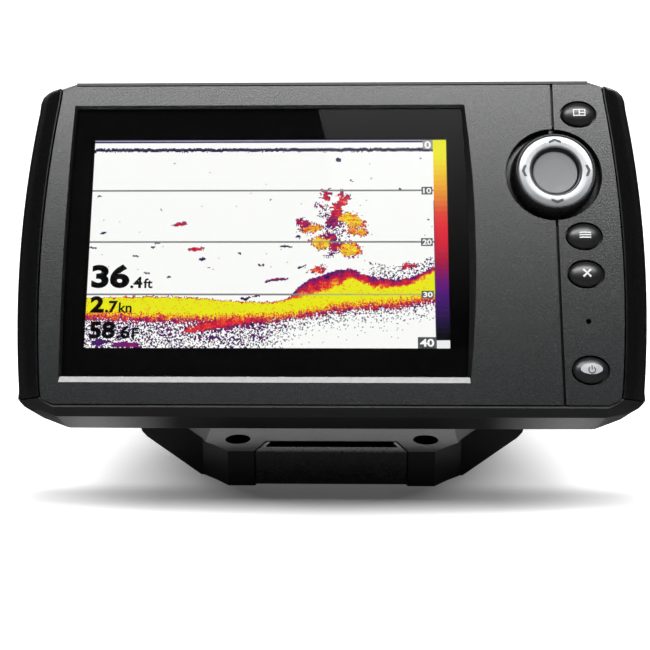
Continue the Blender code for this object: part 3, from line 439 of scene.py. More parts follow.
    # fish and drifting specks
    fish = [
        (0.549, 0.522, 0.0181, 0.0050, 0, 0.10), (0.596, 0.619, 0.0153, 0.0066, 16, 0.10), (0.530, 0.679, 0.0291, 0.0072, 4, 0.30),
        (0.583, 0.476, 0.0084, 0.0080, 0, 0.10), (0.944, 0.394, 0.0056, 0.0055, 0, 0.10), (0.731, 0.200, 0.0042, 0.0060, 0, 0.10),
        (0.504, 0.296, 0.0036, 0.0048, 0, 0.10), (0.868, 0.240, 0.0045, 0.0052, 0, 0.10), (0.230, 0.111, 0.0036, 0.0050, 0, 0.10),
        (0.022, 0.278, 0.0066, 0.0055, 0, 0.10), (0.198, 0.342, 0.0036, 0.0048, 0, 0.10), (0.251, 0.414, 0.0210, 0.0100, 6, 0.42),
        (0.037, 0.456, 0.0118, 0.0060, 8, 0.10), (0.010, 0.527, 0.0112, 0.0052, 0, 0.10), (0.188, 0.507, 0.0088, 0.0052, 8, 0.10),
        (0.178, 0.525, 0.0055, 0.0052, 0, 0.10), (0.300, 0.535, 0.0230, 0.0105, 6, 0.46), (0.133, 0.568, 0.0104, 0.0048, 0, 0.10),
        (0.316, 0.582, 0.0115, 0.0072, 6, 0.13), (0.420, 0.555, 0.0055, 0.0052, 0, 0.10), (0.337, 0.624, 0.0048, 0.0052, 0, 0.10),
        (0.164, 0.647, 0.0132, 0.0057, 5, 0.10), (0.224, 0.668, 0.0046, 0.0052, 0, 0.10), (0.482, 0.611, 0.0084, 0.0060, 8, 0.12),
        (0.502, 0.687, 0.0104, 0.0062, 12, 0.28), (0.695, 0.100, 0.0066, 0.0100, 0, 0.12), (0.928, 0.091, 0.0038, 0.0055, 0, 0.10),
        (0.788, 0.190, 0.0030, 0.0046, 0, 0.10), (0.440, 0.770, 0.0180, 0.0070, 6, 0.12), (0.470, 0.758, 0.0110, 0.0060, 8, 0.12),
        (0.115, 0.985, 0.0400, 0.0130, 0, 0.30), (0.040, 0.975, 0.0200, 0.0160, 0, 0.16),
    ]
    mx, my = X + (ragged_x - 0.5) * 0.008, Y + (ragged_y - 0.5) * 0.009
    f = most(*[blob(*b, mx, my, 3.0) for b in fish])
    marks = (f > 0.03) * clamp01(f + (rnd - 0.5) * 0.12)
    specks = (s.white(X * 333.0, Y * 213.0, 21.0) > 0.9993) * band(Y, 0.07, 0.72) * 0.10

    # clutter lines at the surface
    ragged_line = (s.white(X * 811.0, 0.0, 31.0) - 0.5) * 0.007 + (ragged_x - 0.5) * 0.004
    line_b = band(Y + ragged_line, 0.0400, 0.0570) * (0.055 + rnd * 0.05)
    line_a = band(Y, 0.0042, 0.0145) * 0.10
    sig = most(bottom, speck * (Y > y_foot), cloud, second, weed, stems, halos, marks, specks, line_a, line_b)
    shown = sig > 0.018
    col = s.mix(shown, srgb(253, 253, 249), s.ramp(sig, SIGNAL))
    # the topmost rows of the picture are pale lavender: a painted sheen along the top edge, not a clutter line
    col = s.mix(Y < 0.0042, col, srgb(186, 180, 208))
    # grid
    for y in (0.2505, 0.5005, 0.7505):
        col = s.mix(band(Y, y - 0.0030, y + 0.0025) * (X < BAR_X0) * (1.0 - (sig > 0.62) * 0.45), col, srgb(128, 130, 130))
    # scale labels
    for y0, y1, x0, x1, g in ((0.0, 0.047, 0.934, 0.963, 150), (0.2325, 0.2705, 0.9285, 0.9590, 92), (0.482, 0.520, 0.9250, 0.9575, 92),
                              (0.732, 0.768, 0.9245, 0.9580, 84), (0.948, 1.0, 0.9125, 0.9612, 76)):
        col = s.mix(band(Y0, y0, y1) * band(X0, x0, x1), col, srgb(g, g + 2, g + 2))
    # colour bar
    bar = s.ramp(s.m("FLOOR", (1.0 - Y0 / 0.955) * 38.0) / 37.0, SIGNAL)
    bar = s.mix(Y0 > 0.963, bar, srgb(238, 238, 238))
    col = s.mix(X0 > BAR_X0, col, bar)
    col = s.mix(band(X0, BAR_X0 - 0.0012, BAR_X0 + 0.0012) * (Y0 > 0.30), col, srgb(70, 60, 80))
    s.p.inputs["Base Color"].default_value = (0.003, 0.003, 0.0035, 1)
    s.p.inputs["Roughness"].default_value = 0.35
    s.p.inputs["Specular IOR Level"].default_value = 0.1
    s.put(s.p.inputs["Emission Color"], col)
    s.p.inputs["Emission Strength"].default_value = 1.08
    return s.mat


def dull_lcd():
    s = Shader("display_border")
    s.put(s.p.inputs["Base Color"], s.mix(s.noise(s.coords(), 300.0), (0.002, 0.002, 0.003), (0.004, 0.004, 0.005)))
    s.p.inputs["Roughness"].default_value = 0.4
    s.p.inputs["Specular IOR Level"].default_value = 0.1
    return s.mat


def board():
    s = Shader("circuit_board")
    vec = s.coords((1, 1, 1))
    tracks = s.voronoi(vec, 420.0, "DISTANCE_TO_EDGE", 0.35)
    line = s.remap(tracks, 0.02, 0.06, 1.0, 0.0)
    pads = s.remap(s.voronoi(vec, 260.0), 0.16, 0.20, 1.0, 0.0)
    col = s.mix(line, (0.010, 0.085, 0.035), (0.028, 0.17, 0.07))
    col = s.mix(pads, col, (0.62, 0.48, 0.22))
    s.put(s.p.inputs["Base Color"], col)
    s.put(s.p.inputs["Metallic"], pads)
    s.put(s.p.inputs["Roughness"], s.remap(pads, 0.0, 1.0, 0.42, 0.25))
    s.put(s.p.inputs["Normal"], s.bump(line + pads, 0.3, 0.00005))
    return s.mat


def rubber(name, colour=(0.018, 0.018, 0.018), rough=0.75):
    return plastic(name, colour, rough, grain=0.35, grain_scale=2200.0, spec=0.3, variation=0.2)


M = {
    "face": textured_face(),
    # rim: far lighter than the shell, a painted highlight for the bottom front rim edge
    "rim": plastic("rim_painted_highlight", (0.040, 0.040, 0.041), 0.32, grain=0.1, grain_scale=1900.0, spec=0.6),
    # lip: lighter grey for the insert's upward faces, a painted highlight of the light from above
    "lip": plastic("foot_lip_painted_highlight", (0.060, 0.060, 0.061), 0.30, grain=0.1, grain_scale=1900.0, spec=0.9),
    "bezel": plastic("satin_window_bevel", (0.006, 0.006, 0.0064), 0.22, grain=0.05, spec=0.85, rough_var=0.04),
    "trim": plastic("satin_black_trim", (0.0032, 0.0032, 0.0034), 0.30, grain=0.06, spec=0.2, wear=0.12, rough_var=0.05),
    "shell": plastic("black_shell", (0.0042, 0.0042, 0.0045), 0.32, grain=0.15, grain_scale=2400.0, spec=0.32, rough_var=0.03),
    "rear": plastic("black_rear_shell", (0.012, 0.012, 0.0125), 0.46, grain=0.55, grain_scale=2400.0, rough_var=0.04),
    "bracket": plastic("black_bracket", (0.0042, 0.0042, 0.0044), 0.36, grain=0.25, grain_scale=2400.0, spec=0.32, rough_var=0.04),
    "insert": plastic("black_foot_insert", (0.0046, 0.0046, 0.0048), 0.26, grain=0.15, grain_scale=1700.0, spec=0.45, wear=0.10),
    "gloss": plastic("gloss_black_pad", (0.0042, 0.0042, 0.0046), 0.28, spec=0.4, rough_var=0.05),
    "key": plastic("key_dark_grey", (0.0070, 0.0070, 0.0075), 0.36, spec=0.75, rough_var=0.04, wear=0.1, grain=0.06, grain_scale=2600.0),
    "dish": plastic("dish_grey", (0.135, 0.14, 0.145), 0.42, grain=0.18, grain_scale=2600.0, variation=0.06),
    "silver": silver_paint(),
    "chevron": plastic("chevron_grey", (0.030, 0.031, 0.033), 0.5, variation=0.1),
    "icon": plastic("icon_white", (0.62, 0.63, 0.64), 0.45, variation=0.05),
    "patch": plastic("power_patch", (0.36, 0.37, 0.385), 0.38, variation=0.06, grain=0.1),
    "patch_icon": plastic("power_icon_dark", (0.02, 0.02, 0.022), 0.4),
    "glass": window_glass(),
    "print": print_black(),
    "lcd": echogram(),
    "lcd_border": dull_lcd(),
    "seal": rubber("seal_rubber_black"),
    "steel": metal("zinc_steel", (0.60, 0.60, 0.61), 0.3),
    "brass": metal("turned_brass", (0.72, 0.53, 0.24), 0.26),
    "gold": metal("gold_pin", (0.83, 0.62, 0.25), 0.22, 0.1),
    "aluminium": metal("aluminium_satin", (0.74, 0.75, 0.77), 0.34),
    "board": board(),
    "component": plastic("component_black", (0.018, 0.018, 0.019), 0.5, grain=0.4, grain_scale=2600.0),
    "white": plastic("white_diffuser", (0.72, 0.72, 0.70), 0.4, variation=0.04, grain=0.1),
    "amber": plastic("flex_amber", (0.50, 0.24, 0.03), 0.3, variation=0.15, grain=0.15),
    "silicone": plastic("silicone_grey", (0.25, 0.26, 0.27), 0.6, variation=0.08, grain=0.2),
    "sensor": plastic("sensor_window", (0.004, 0.004, 0.005), 0.08, coat=0.6),
}


# ================================================================ geometry helpers
def link(obj):
    coll.objects.link(obj)
    return obj


def from_bm(name, bm, matrix=None):
    bmesh.ops.recalc_face_normals(bm, faces=bm.faces)
    if matrix is not None:
        bm.transform(matrix)
        if matrix.determinant() < 0:
            bmesh.ops.reverse_faces(bm, faces=bm.faces)
    me = bpy.data.meshes.new(name)
    bm.to_mesh(me)
    bm.free()
    return link(bpy.data.objects.new(name, me))


def bake_down(obj):
    """Applies an object's modifiers into a fresh mesh."""
    bpy.context.view_layer.update()
    me = bpy.data.meshes.new_from_object(obj.evaluated_get(bpy.context.evaluated_depsgraph_get()))
    mats = [s.material for s in obj.material_slots]
    obj.modifiers.clear()
    obj.data = me
    me.name = obj.name
    if mats and not me.materials:
        for mt in mats:
            me.materials.append(mt)
    return obj


def tidy(obj, weld=1e-6, dissolve=True):
    bm = bmesh.new()
    bm.from_mesh(obj.data)
    bmesh.ops.remove_doubles(bm, verts=bm.verts, dist=weld)
    if dissolve:
        bmesh.ops.dissolve_limit(bm, angle_limit=math.radians(0.8), verts=bm.verts, edges=bm.edges)
    bm.to_mesh(obj.data)
    bm.free()
    return obj


def smooth(obj, angle=40):
    obj.data.shade_smooth()
    obj.data.set_sharp_from_angle(angle=math.radians(angle))
    return obj


def edged(obj, width, segments=2, angle=28, keep_flat=True):
    """Rounds an object's edges by width millimetres and shades its flats flat."""
    b = obj.modifiers.new("edge", "BEVEL")
    b.width = width * MM
    b.segments = segments
    b.limit_method = "ANGLE"
    b.angle_limit = math.radians(angle)
    b.use_clamp_overlap = True
    b.miter_outer = "MITER_ARC"
    bake_down(obj)
    obj.data.shade_smooth()
    if keep_flat:
        w = obj.modifiers.new("weighted", "WEIGHTED_NORMAL")
        w.keep_sharp = True
        w.weight = 80
        obj.data.set_sharp_from_angle(angle=math.radians(50))
    return obj


def flat_faces(obj, area):
    """Shades every face larger than area (mm2) flat; the narrow roundings stay smooth."""
    for p in obj.data.polygons:
        if p.area > area * MM * MM:
            p.use_smooth = False
    return obj


def wear_mat(obj, *mats):
    obj.data.materials.clear()
    for m in mats:
        obj.data.materials.append(M[m])
    return obj


def place(obj, body, slot, *replaced):
    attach(obj, body)
    if replaced:
        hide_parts(*replaced)
    return obj


def detailed_copy(node, name, mat, body, slot, width=0.35, segments=2, angle=28, dissolve=True):
    """A CAD node's own shape with rounded edges."""
    me = NODES[node].data.copy()
    me.name = name
    obj = link(bpy.data.objects.new(name, me))
    tidy(obj, dissolve=dissolve)
    edged(obj, width, segments, angle)
    wear_mat(obj, mat)
    return place(obj, body, slot, node)


def plate(name, loops, h0, h1, matrix=TO_ROW):
    cu = bpy.data.curves.new(name, "CURVE")
    cu.dimensions = "2D"
    cu.fill_mode = "BOTH"
    cu.extrude = (h1 - h0) / 2
    for loop in loops:
        sp = cu.splines.new("POLY")
        sp.points.add(len(loop) - 1)
        for p, (x, y) in zip(sp.points, loop):
            p.co = (x, y, 0, 1)
        sp.use_cyclic_u = True
    tmp = link(bpy.data.objects.new(name + "_c", cu))
    bpy.context.view_layer.update()
    me = bpy.data.meshes.new_from_object(tmp.evaluated_get(bpy.context.evaluated_depsgraph_get()))
    bpy.data.objects.remove(tmp)
    bm = bmesh.new()
    bm.from_mesh(me)
    bpy.data.meshes.remove(me)
    bmesh.ops.remove_doubles(bm, verts=bm.verts, dist=1e-4)
    bmesh.ops.translate(bm, verts=bm.verts, vec=(0, 0, (h0 + h1) / 2))
    return from_bm(name, bm, matrix)


def loft(name, rings, matrix=TO_ROW, caps=True, closed=True):
    bm = bmesh.new()
    rows = [[bm.verts.new(p) for p in ring] for ring in rings]
    n = len(rows[0])
    for lo, up in zip(rows, rows[1:]):
        for i in range(n if closed else n - 1):
            j = (i + 1) % n
            bm.faces.new((lo[i], lo[j], up[j], up[i]))
    if caps:
        bm.faces.new(rows[0])
        bm.faces.new(rows[-1])
    return from_bm(name, bm, matrix)


def turned(name, profile, centre, seg=64, a=1.0, b=1.0, matrix=TO_ROW):
    """A closed turned solid from (radius, height) points; the ends on the axis close it."""
    bm = bmesh.new()
    rows = []
    for r, z in profile:
        if r < 1e-6:
            rows.append([bm.verts.new((centre[0], centre[1], centre[2] + z))])
        else:
            rows.append([
                bm.verts.new((centre[0] + a * r * math.cos(math.tau * i / seg), centre[1] + b * r * math.sin(math.tau * i / seg), centre[2] + z))
                for i in range(seg)
            ])
    for p, q in zip(rows, rows[1:]):
        for i in range(seg):
            j = (i + 1) % seg
            if len(p) == 1 and len(q) == 1:
                continue
            if len(p) == 1:
                bm.faces.new((p[0], q[i], q[j]))
            elif len(q) == 1:
                bm.faces.new((p[i], q[0], p[j]))
            else:
                bm.faces.new((p[i], q[i], q[j], p[j]))
    return from_bm(name, bm, matrix)


def boolean(obj, other, op="DIFFERENCE", remove=True):
    m = obj.modifiers.new(op, "BOOLEAN")
    m.operation = op
    m.solver = "EXACT"
    m.object = other
    bake_down(obj)
    if remove:
        bpy.data.objects.remove(other)
    return obj


def spaced(a, b, n):
    return [a + (b - a) * i / (n - 1) for i in range(n)]


def ellipse(u, v, a, b, n):
    return [(u + a * math.cos(math.tau * i / n), v + b * math.sin(math.tau * i / n)) for i in range(n)]


def arc_profile(pts, r, n=4):
    """Rounds the inner corners of an open (radius, height) profile."""
    out = [pts[0]]
    for p, q, s in zip(pts, pts[1:], pts[2:]):
        P, Q, S = Vector(p), Vector(q), Vector(s)
        a, b = (P - Q), (S - Q)
        rr = min(r, a.length * 0.45, b.length * 0.45)
        A, B = Q + a.normalized() * rr, Q + b.normalized() * rr
        for i in range(n + 1):
            t = i / n
            out.append(tuple((1 - t) ** 2 * A + 2 * t * (1 - t) * Q + t * t * B))
    out.append(pts[-1])
    return out


# ================================================================ head outlines (as in the design)
FACE_T = 1.5
SPLIT_L, SPLIT_R = 76.05 - 0.4, 76.05 + 0.4
NAV_U, NAV_V, NAV_HOLE_R = 75.7, 23.05, 16.2
KEY_U = 84.8
KEYS = {"view": 44.7, "menu": 1.26, "exit": -11.8, "power": -44.0}
KEY_A, KEY_B = 6.3, 4.93
SENSOR_U, SENSOR_V = 84.9, -27.8
SIDE_V = spaced(-50, 49.5, 40)


def face_side(v):
    return 97.2 - 0.0012 * (v + 5) ** 2


def body_side(v):
    return 107.0 - 0.0013 * (v + 3) ** 2


FACE_RIGHT = (
    [(90.2, -55.4), (91.6, -54.85), (92.9, -54.3), (94.1, -53.7)]
    + [(face_side(v), v) for v in SIDE_V]
    + [(93.2, 53.8), (92.1, 54.3), (91.0, 54.8), (90.0, 55.25), (88.9, 55.75)]
)
BODY_RIGHT = (
    [(90.0, -61.0), (99.2, -57.7), (101.8, -55.9), (104.1, -52.9)]
    + [(body_side(v), v) for v in SIDE_V]
    + [(103.2, 52.8), (102.5, 55.0), (100.8, 56.9), (95.9, 58.6), (89.8, 60.3)]
)
FACE = FACE_RIGHT + [(-x, y) for x, y in reversed(FACE_RIGHT)]
BODY = BODY_RIGHT + [(-x, y) for x, y in reversed(BODY_RIGHT)]


def section(h, fu, fv):
    return [(fx + (bx - fx) * fu, fy + (by - fy) * fv, h) for (fx, fy), (bx, by) in zip(FACE, BODY)]


def bow(ends, middle, v0, v1, n=48):
    mid, half = (v0 + v1) / 2, (v1 - v0) / 2
    return [(middle - (middle - ends) * ((v - mid) / half) ** 2, v) for v in spaced(v0, v1, n)]


def window(left, right, v0, v1, h):
    return [(x, y, h) for x, y in bow(*right, v0, v1)] + [(x, y, h) for x, y in reversed(bow(*left, v0, v1))]


# ---- the two textured face mouldings
left_loop = (
    [(-90.2, -55.4), (SPLIT_L, -55.4), (SPLIT_L, 55.75), (-88.9, 55.75)] + [(-x, y) for x, y in reversed(FACE_RIGHT[1:-1])]
)
face = plate("face_moulding", [left_loop], -FACE_T, 0)
face_cut = loft("cut_w", [
    window((-87.8, -88.8), (44.9, 46.4), -46.05, 47.6, -FACE_T - 0.8),
    window((-87.9, -88.9), (45.0, 46.5), -46.1, 47.75, -FACE_T),
    window((-88.4, -89.33), (45.65, 48.19), -46.25, 48.18, -0.42),
    window((-88.6, -89.5), (45.9, 48.85), -47.75, 48.35, 0),
    window((-89.08, -89.9), (46.5, 50.42), -51.32, 48.75, 1.0),
])
nav_cut = loft("cut_n", [[(x, y, h) for x, y in ellipse(NAV_U, NAV_V, NAV_HOLE_R, NAV_HOLE_R, 96)] for h in (-5, 3)])
boolean(face, face_cut)
boolean(face, nav_cut, remove=False)
tidy(face)
edged(face, 0.28, 3, 20)
flat_faces(face, 0.8)
wear_mat(face, "face", "bezel")
face_normal = (TO_ROW.to_3x3() @ Vector((0, 0, 1))).normalized()
back_to_head = TO_ROW.inverted()
for p in face.data.polygons:
    q = back_to_head @ p.center
    if -90.4 < q.x < 50.8 and -48.0 < q.y < 49.2 and p.normal.dot(face_normal) < 0.985:
        p.material_index = 1
place(face, "head", "charcoal_textured", "face_plate")

right_loop = [(SPLIT_R, -55.4)] + FACE_RIGHT + [(SPLIT_R, 55.75)]
panel = plate("key_moulding", [right_loop] + [ellipse(KEY_U, v, KEY_A, KEY_B, 56) for v in KEYS.values()]
              + [ellipse(SENSOR_U, SENSOR_V, 0.9, 0.9, 24)], -FACE_T, 0)
boolean(panel, nav_cut)
tidy(panel)
edged(panel, 0.28, 3, 20)
flat_faces(panel, 0.8)
wear_mat(panel, "face")
place(panel, "head", "charcoal_textured", "keypad_panel")

# ---- front shell: rim, lower facets, sides
shell = detailed_copy("front_housing", "front_shell", "shell", "head", "black_moulded", 0.16, 3, 14)

# the front edge of the rim along the bottom takes the lighter rim colour: a painted highlight where the edge catches
# the light
shell.data.materials.append(M["rim"])
for p in shell.data.polygons:
    q = back_to_head @ p.center
    if q.y < -50 and q.z > -0.9 and p.normal.dot(face_normal) > 0.6:
        p.material_index = 1

# ---- side trims
TRIM = (
    [((94.75, -53.0), (104.2, -53.0))]
    + [((face_side(v) + 0.45, v), (body_side(v), v)) for v in SIDE_V]
    + [((93.75, 52.6), (103.2, 52.8)), ((93.75, 53.7), (102.5, 55.0)), ((93.75, 54.4), (100.8, 56.9)), ((93.75, 54.9), (97.5, 57.7))]
)


def trim_rings(side):
    rings = []
    for inner, outer in TRIM:
        i, o = Vector(inner), Vector(outer)
        along = (o - i).normalized()
        w = (o - i).length
        m = i.lerp(o, 0.55)
        pts = [(i + along * 0.05, -0.75), (i + along * 0.22, -0.45), (i + along * 0.55, -0.42), (i + along * 0.9, -0.62)]
        # gently crowned slope from the face to the flank
        for t in (0.25, 0.40, 0.55, 0.70, 0.84, 0.94):
            h = -0.35 + (t / 0.55) * (-3.2) if t <= 0.55 else -3.55 + (t - 0.55) / 0.45 * (-4.55)
            pts.append((i.lerp(o, t), h + 0.10))
        pts += [(o - along * 0.12, -7.75), (o, -8.3), (o, -9.4), (o - along * 0.15, -9.55), (m - along * 0.6, -5.95), (i, -2.5)]
        rings.append([(side * p.x, p.y, h) for p, h in pts])
    return rings


for side, tag in ((1, "right"), (-1, "left")):
    t = loft(f"side_trim_{tag}_satin", trim_rings(side))
    smooth(t, 38)
    wear_mat(t, "trim")
    place(t, "head", "black_satin", f"side_trim_{tag}")

# ---- display picture behind the window
SCR_U, SCR_V, SCR_W, SCR_H = -20.97, 0.385, 121.64, 73.23
LCD_TOP = -4.12


def screen_slab():
    bm = bmesh.new()
    uvl = bm.loops.layers.uv.new("screen")
    u0, u1, v0, v1 = SCR_U - SCR_W / 2, SCR_U + SCR_W / 2, SCR_V - SCR_H / 2, SCR_V + SCR_H / 2
    g0, g1, w0, w1 = -84.3, 41.5, -38.9, 38.9
    inner = [bm.verts.new((x, y, LCD_TOP)) for x, y in ((u0, v0), (u1, v0), (u1, v1), (u0, v1))]
    outer = [bm.verts.new((x, y, LCD_TOP)) for x, y in ((g0, w0), (g1, w0), (g1, w1), (g0, w1))]
    back = [bm.verts.new((x, y, LCD_TOP - 1.7)) for x, y in ((g0, w0), (g1, w0), (g1, w1), (g0, w1))]
    f = bm.faces.new(inner)
    for l, c in zip(f.loops, ((0, 0), (1, 0), (1, 1), (0, 1))):
        l[uvl].uv = c
    f.material_index = 0
    for i in range(4):
        j = (i + 1) % 4
        bm.faces.new((outer[i], outer[j], inner[j], inner[i])).material_index = 1
        bm.faces.new((back[i], back[j], outer[j], outer[i])).material_index = 1
    bm.faces.new(back[::-1]).material_index = 1
    bmesh.ops.recalc_face_normals(bm, faces=bm.faces)
    bm.transform(TO_ROW)
    me = bpy.data.meshes.new("display_picture")
    bm.to_mesh(me)
    bm.free()
    return link(bpy.data.objects.new("display_picture", me))


lcd = screen_slab()
lcd.data.materials.append(M["lcd"])
lcd.data.materials.append(M["lcd_border"])
place(lcd, "head", "display_lit", "lcd_panel")


def scr(x, y):
    """Head coordinates of a point given as fractions of the picture, from its top left corner."""
    return SCR_U - SCR_W / 2 + x * SCR_W, SCR_V + SCR_H / 2 - y * SCR_H


# ---- numbers on the picture
ink = Shader("readout_ink")
ink.put(ink.p.inputs["Base Color"], ink.mix(ink.noise(ink.coords(), 900.0), (0.0015, 0.0015, 0.002), (0.004, 0.004, 0.005)))
ink.p.inputs["Roughness"].default_value = 0.5
ink.p.inputs["Specular IOR Level"].default_value = 0.05
M["ink"] = ink.mat
lit = Shader("label_lit")
lit.p.inputs["Base Color"].default_value = (0.01, 0.01, 0.01, 1)
lit.put(lit.p.inputs["Emission Color"], lit.mix(lit.noise(lit.coords(), 900.0), (0.93, 0.93, 0.92), (1.0, 1.0, 0.98)))
lit.p.inputs["Emission Strength"].default_value = 1.05
M["lit"] = lit.mat


def text_mesh(name, string, x0, x1, base, top, mat, bold=0.06, h=LCD_TOP + 0.03):
    """Digits as a thin mesh, fitted between picture fractions x0..x1, from its baseline up to top."""
    cu = bpy.data.curves.new(name, "FONT")
    cu.body = string
    cu.size = 10.0
    cu.offset = bold
    cu.resolution_u = 4
    tmp = link(bpy.data.objects.new(name + "_t", cu))
    bpy.context.view_layer.update()
    me = bpy.data.meshes.new_from_object(tmp.evaluated_get(bpy.context.evaluated_depsgraph_get()))
    bpy.data.objects.remove(tmp)
    bm = bmesh.new()
    bm.from_mesh(me)
    bpy.data.meshes.remove(me)
    bmesh.ops.remove_doubles(bm, verts=bm.verts, dist=1e-4)
    lo = [min(v.co[i] for v in bm.verts) for i in (0, 1)]
    hi = [max(v.co[i] for v in bm.verts) for i in (0, 1)]
    (u0, v0), (u1, v1) = scr(x0, base), scr(x1, top)
    for v in bm.verts:
        v.co.x = u0 + (v.co.x - lo[0]) / (hi[0] - lo[0]) * (u1 - u0)
        v.co.y = v0 + (v.co.y - lo[1]) / (hi[1] - lo[1]) * (v1 - v0)
        v.co.z = h
    up = bmesh.ops.extrude_face_region(bm, geom=bm.faces[:])["geom"]
    bmesh.ops.translate(bm, verts=[g for g in up if isinstance(g, bmesh.types.BMVert)], vec=(0, 0, 0.02))
    obj = from_bm(name, bm, TO_ROW)
    wear_mat(obj, mat)
    return place(obj, "head", "display_lit")


for i, (string, x0, x1, base, top, bold) in enumerate((
    ("36", 0.0106, 0.1168, 0.7209, 0.6071, 0.45), (".4", 0.1195, 0.153, 0.7209, 0.6662, 0.35), ("ft", 0.1563, 0.1815, 0.7209, 0.6745, 0.22),
    ("2", 0.0117, 0.0494, 0.8363, 0.7584, 0.45), (".7", 0.0525, 0.0879, 0.8363, 0.7804, 0.35), ("kn", 0.0905, 0.1265, 0.8363, 0.788, 0.2),
    ("58", 0.0122, 0.0833, 0.9574, 0.8767, 0.42), (".6", 0.0865, 0.1243, 0.9574, 0.897, 0.35), ("F", 0.1300, 0.1500, 0.9574, 0.906, 0.2),
)):
    text_mesh(f"readout_{i + 1}", string, x0, x1, base, top, "ink", bold)
for string, x0, x1, base, top in (("0", 0.9385, 0.9570, 0.0435, 0.0065), ("10", 0.9330, 0.9560, 0.2650, 0.2385), ("20", 0.9290, 0.9548, 0.5145, 0.4880),
                                  ("30", 0.9290, 0.9550, 0.7630, 0.7375), ("40", 0.9180, 0.9570, 0.9925, 0.9560)):
    text_mesh(f"scale_{string}", string, x0, x1, base, top, "lit", 0.3)

# ---- the black print round the picture
mask = plate("window_print", [
    [(-21.4 + dx, v) for dx, v in ((-69.4, -47.8), (69.4, -47.8), (69.4, 50.1), (-69.4, 50.1))],
    [(-82.1, -36.5), (40.2, -36.5), (40.2, 37.45), (-82.1, 37.45)],
], -3.84, -3.62)
tidy(mask)
wear_mat(mask, "print")
place(mask, "head", "black_print", "lens_mask")

# ---- keys with icons
DOME = [(0.0, 1.75), (0.3, 1.68), (0.55, 1.45), (0.76, 1.08), (0.92, 0.55), (1.0, -0.15)]


def dome_profile(n=14):
    pts = []
    for i in range(n + 1):
        a = math.pi / 2 * i / n
        r, z = math.sin(a) ** 0.92, 1.75 - 1.9 * (1 - math.cos(a) ** 1.15)
        pts.append((min(r, 1.0), z))
    return pts


DOME_FINE = dome_profile()


def dome_h(du, dv, a=5.65, b=4.3):
    r = min(1.0, math.hypot(du / a, dv / b))
    for (r0, z0), (r1, z1) in zip(DOME_FINE, DOME_FINE[1:]):
        if r <= r1:
            return z0 + (z1 - z0) * (r - r0) / max(r1 - r0, 1e-6)
    return DOME_FINE[-1][1]


def on_dome(name, loops, key, mat, lift=0.03, step=0.25):
    """A thin printed shape that follows a key's dome."""
    v = KEYS[key]
    obj = plate(name, loops, 0, 0.02, matrix=Matrix.Identity(4))
    bm = bmesh.new()
    bm.from_mesh(obj.data)
    bmesh.ops.triangulate(bm, faces=bm.faces)
    for _ in range(3):
        long = [e for e in bm.edges if e.calc_length() > step * 2]
        if not long:
            break
        bmesh.ops.subdivide_edges(bm, edges=long, cuts=1)
        bmesh.ops.triangulate(bm, faces=bm.faces)
    for vert in bm.verts:
        vert.co.z += dome_h(vert.co.x, vert.co.y) + lift
        vert.co.x += KEY_U
        vert.co.y += v
    bm.transform(TO_ROW)
    bm.to_mesh(obj.data)
    bm.free()
    wear_mat(obj, mat)
    smooth(obj, 60)
    return place(obj, f"{key}_key", "key_plastic")


def bar(x0, x1, y0, y1):
    return [(x0, y0), (x1, y0), (x1, y1), (x0, y1)]


def arc_band(cx, cy, r, w, a0, a1, n=28):
    A = [math.radians(a0 + (a1 - a0) * i / n) for i in range(n + 1)]
    return [(cx + (r + w / 2) * math.cos(a), cy + (r + w / 2) * math.sin(a)) for a in A] + [
        (cx + (r - w / 2) * math.cos(a), cy + (r - w / 2) * math.sin(a)) for a in reversed(A)]


for key, v in KEYS.items():
    cap = turned(f"{key}_key_cap", [(r, z) for r, z in DOME_FINE] + [(1.0, -2.45), (1.17, -2.45), (1.17, -3.2), (0.0, -3.2)],
                 (KEY_U, v, 0), 56, 5.65, 4.3)
    smooth(cap, 40)
    wear_mat(cap, "key")
    place(cap, f"{key}_key", "key_plastic", f"{key}_button")
# view: a split window; menu: three lines; exit: a cross; power: ring and bar on a pale patch
on_dome("view_icon_frame", [bar(-2.1, 2.1, -1.25, 1.25), bar(-1.75, -0.2, -0.9, 0.9), bar(0.15, 1.75, 0.15, 0.9), bar(0.15, 1.75, -0.9, -0.2)], "view", "icon")
for i, y in enumerate((0.85, 0.0, -0.85)):
    on_dome(f"menu_icon_{i + 1}", [bar(-1.9, 1.9, y - 0.2, y + 0.2)], "menu", "icon")
c, w = 1.25, 0.24
on_dome("exit_icon", [[(-c - w, c - w + 0.0), (-w * 1.41, 0), (-c - w, -c + w), (-c + w, -c - w), (0, -w * 1.41), (c - w, -c - w),
                       (c + w, -c + w), (w * 1.41, 0), (c + w, c - w), (c - w, c + w), (0, w * 1.41), (-c + w, c + w)]], "exit", "icon")
on_dome("power_patch", [ellipse(0, 0.25, 3.55, 1.75, 48)], "power", "patch", 0.02)
on_dome("power_icon_ring", [arc_band(0, -0.15, 1.05, 0.34, 125, 415)], "power", "patch_icon", 0.06)
on_dome("power_icon_bar", [bar(-0.17, 0.17, -0.05, 1.35)], "power", "patch_icon", 0.06)

# ---- four-way pad
NAV0 = (NAV_U, NAV_V, 0.0)
rocker = turned("pad_body", arc_profile([
    (0.0, 1.35), (2.5, 1.37), (5.0, 1.46), (7.0, 1.62), (7.5, 1.85), (7.95, 2.75), (8.45, 2.85), (8.5, 2.6), (12.72, 2.6), (12.78, 3.15),
    (13.2, 3.1), (13.75, 2.2), (14.15, 0.8), (14.35, -1.2), (14.4, -2.9), (17.0, -2.9), (17.0, -3.9), (5.6, -3.9), (5.6, -1.4), (0.0, -1.4)],
    0.12, 3), NAV0, 96)
smooth(rocker, 40)
rocker.data.materials.append(M["gloss"])
rocker.data.materials.append(M["dish"])
inv = TO_ROW.inverted()
for p in rocker.data.polygons:
    q = inv @ p.center
    if q.z > 0 and math.hypot(q.x - NAV_U, q.y - NAV_V) < 7.3:
        p.material_index = 1
place(rocker, "nav_pad", "black_gloss", "nav_rocker")
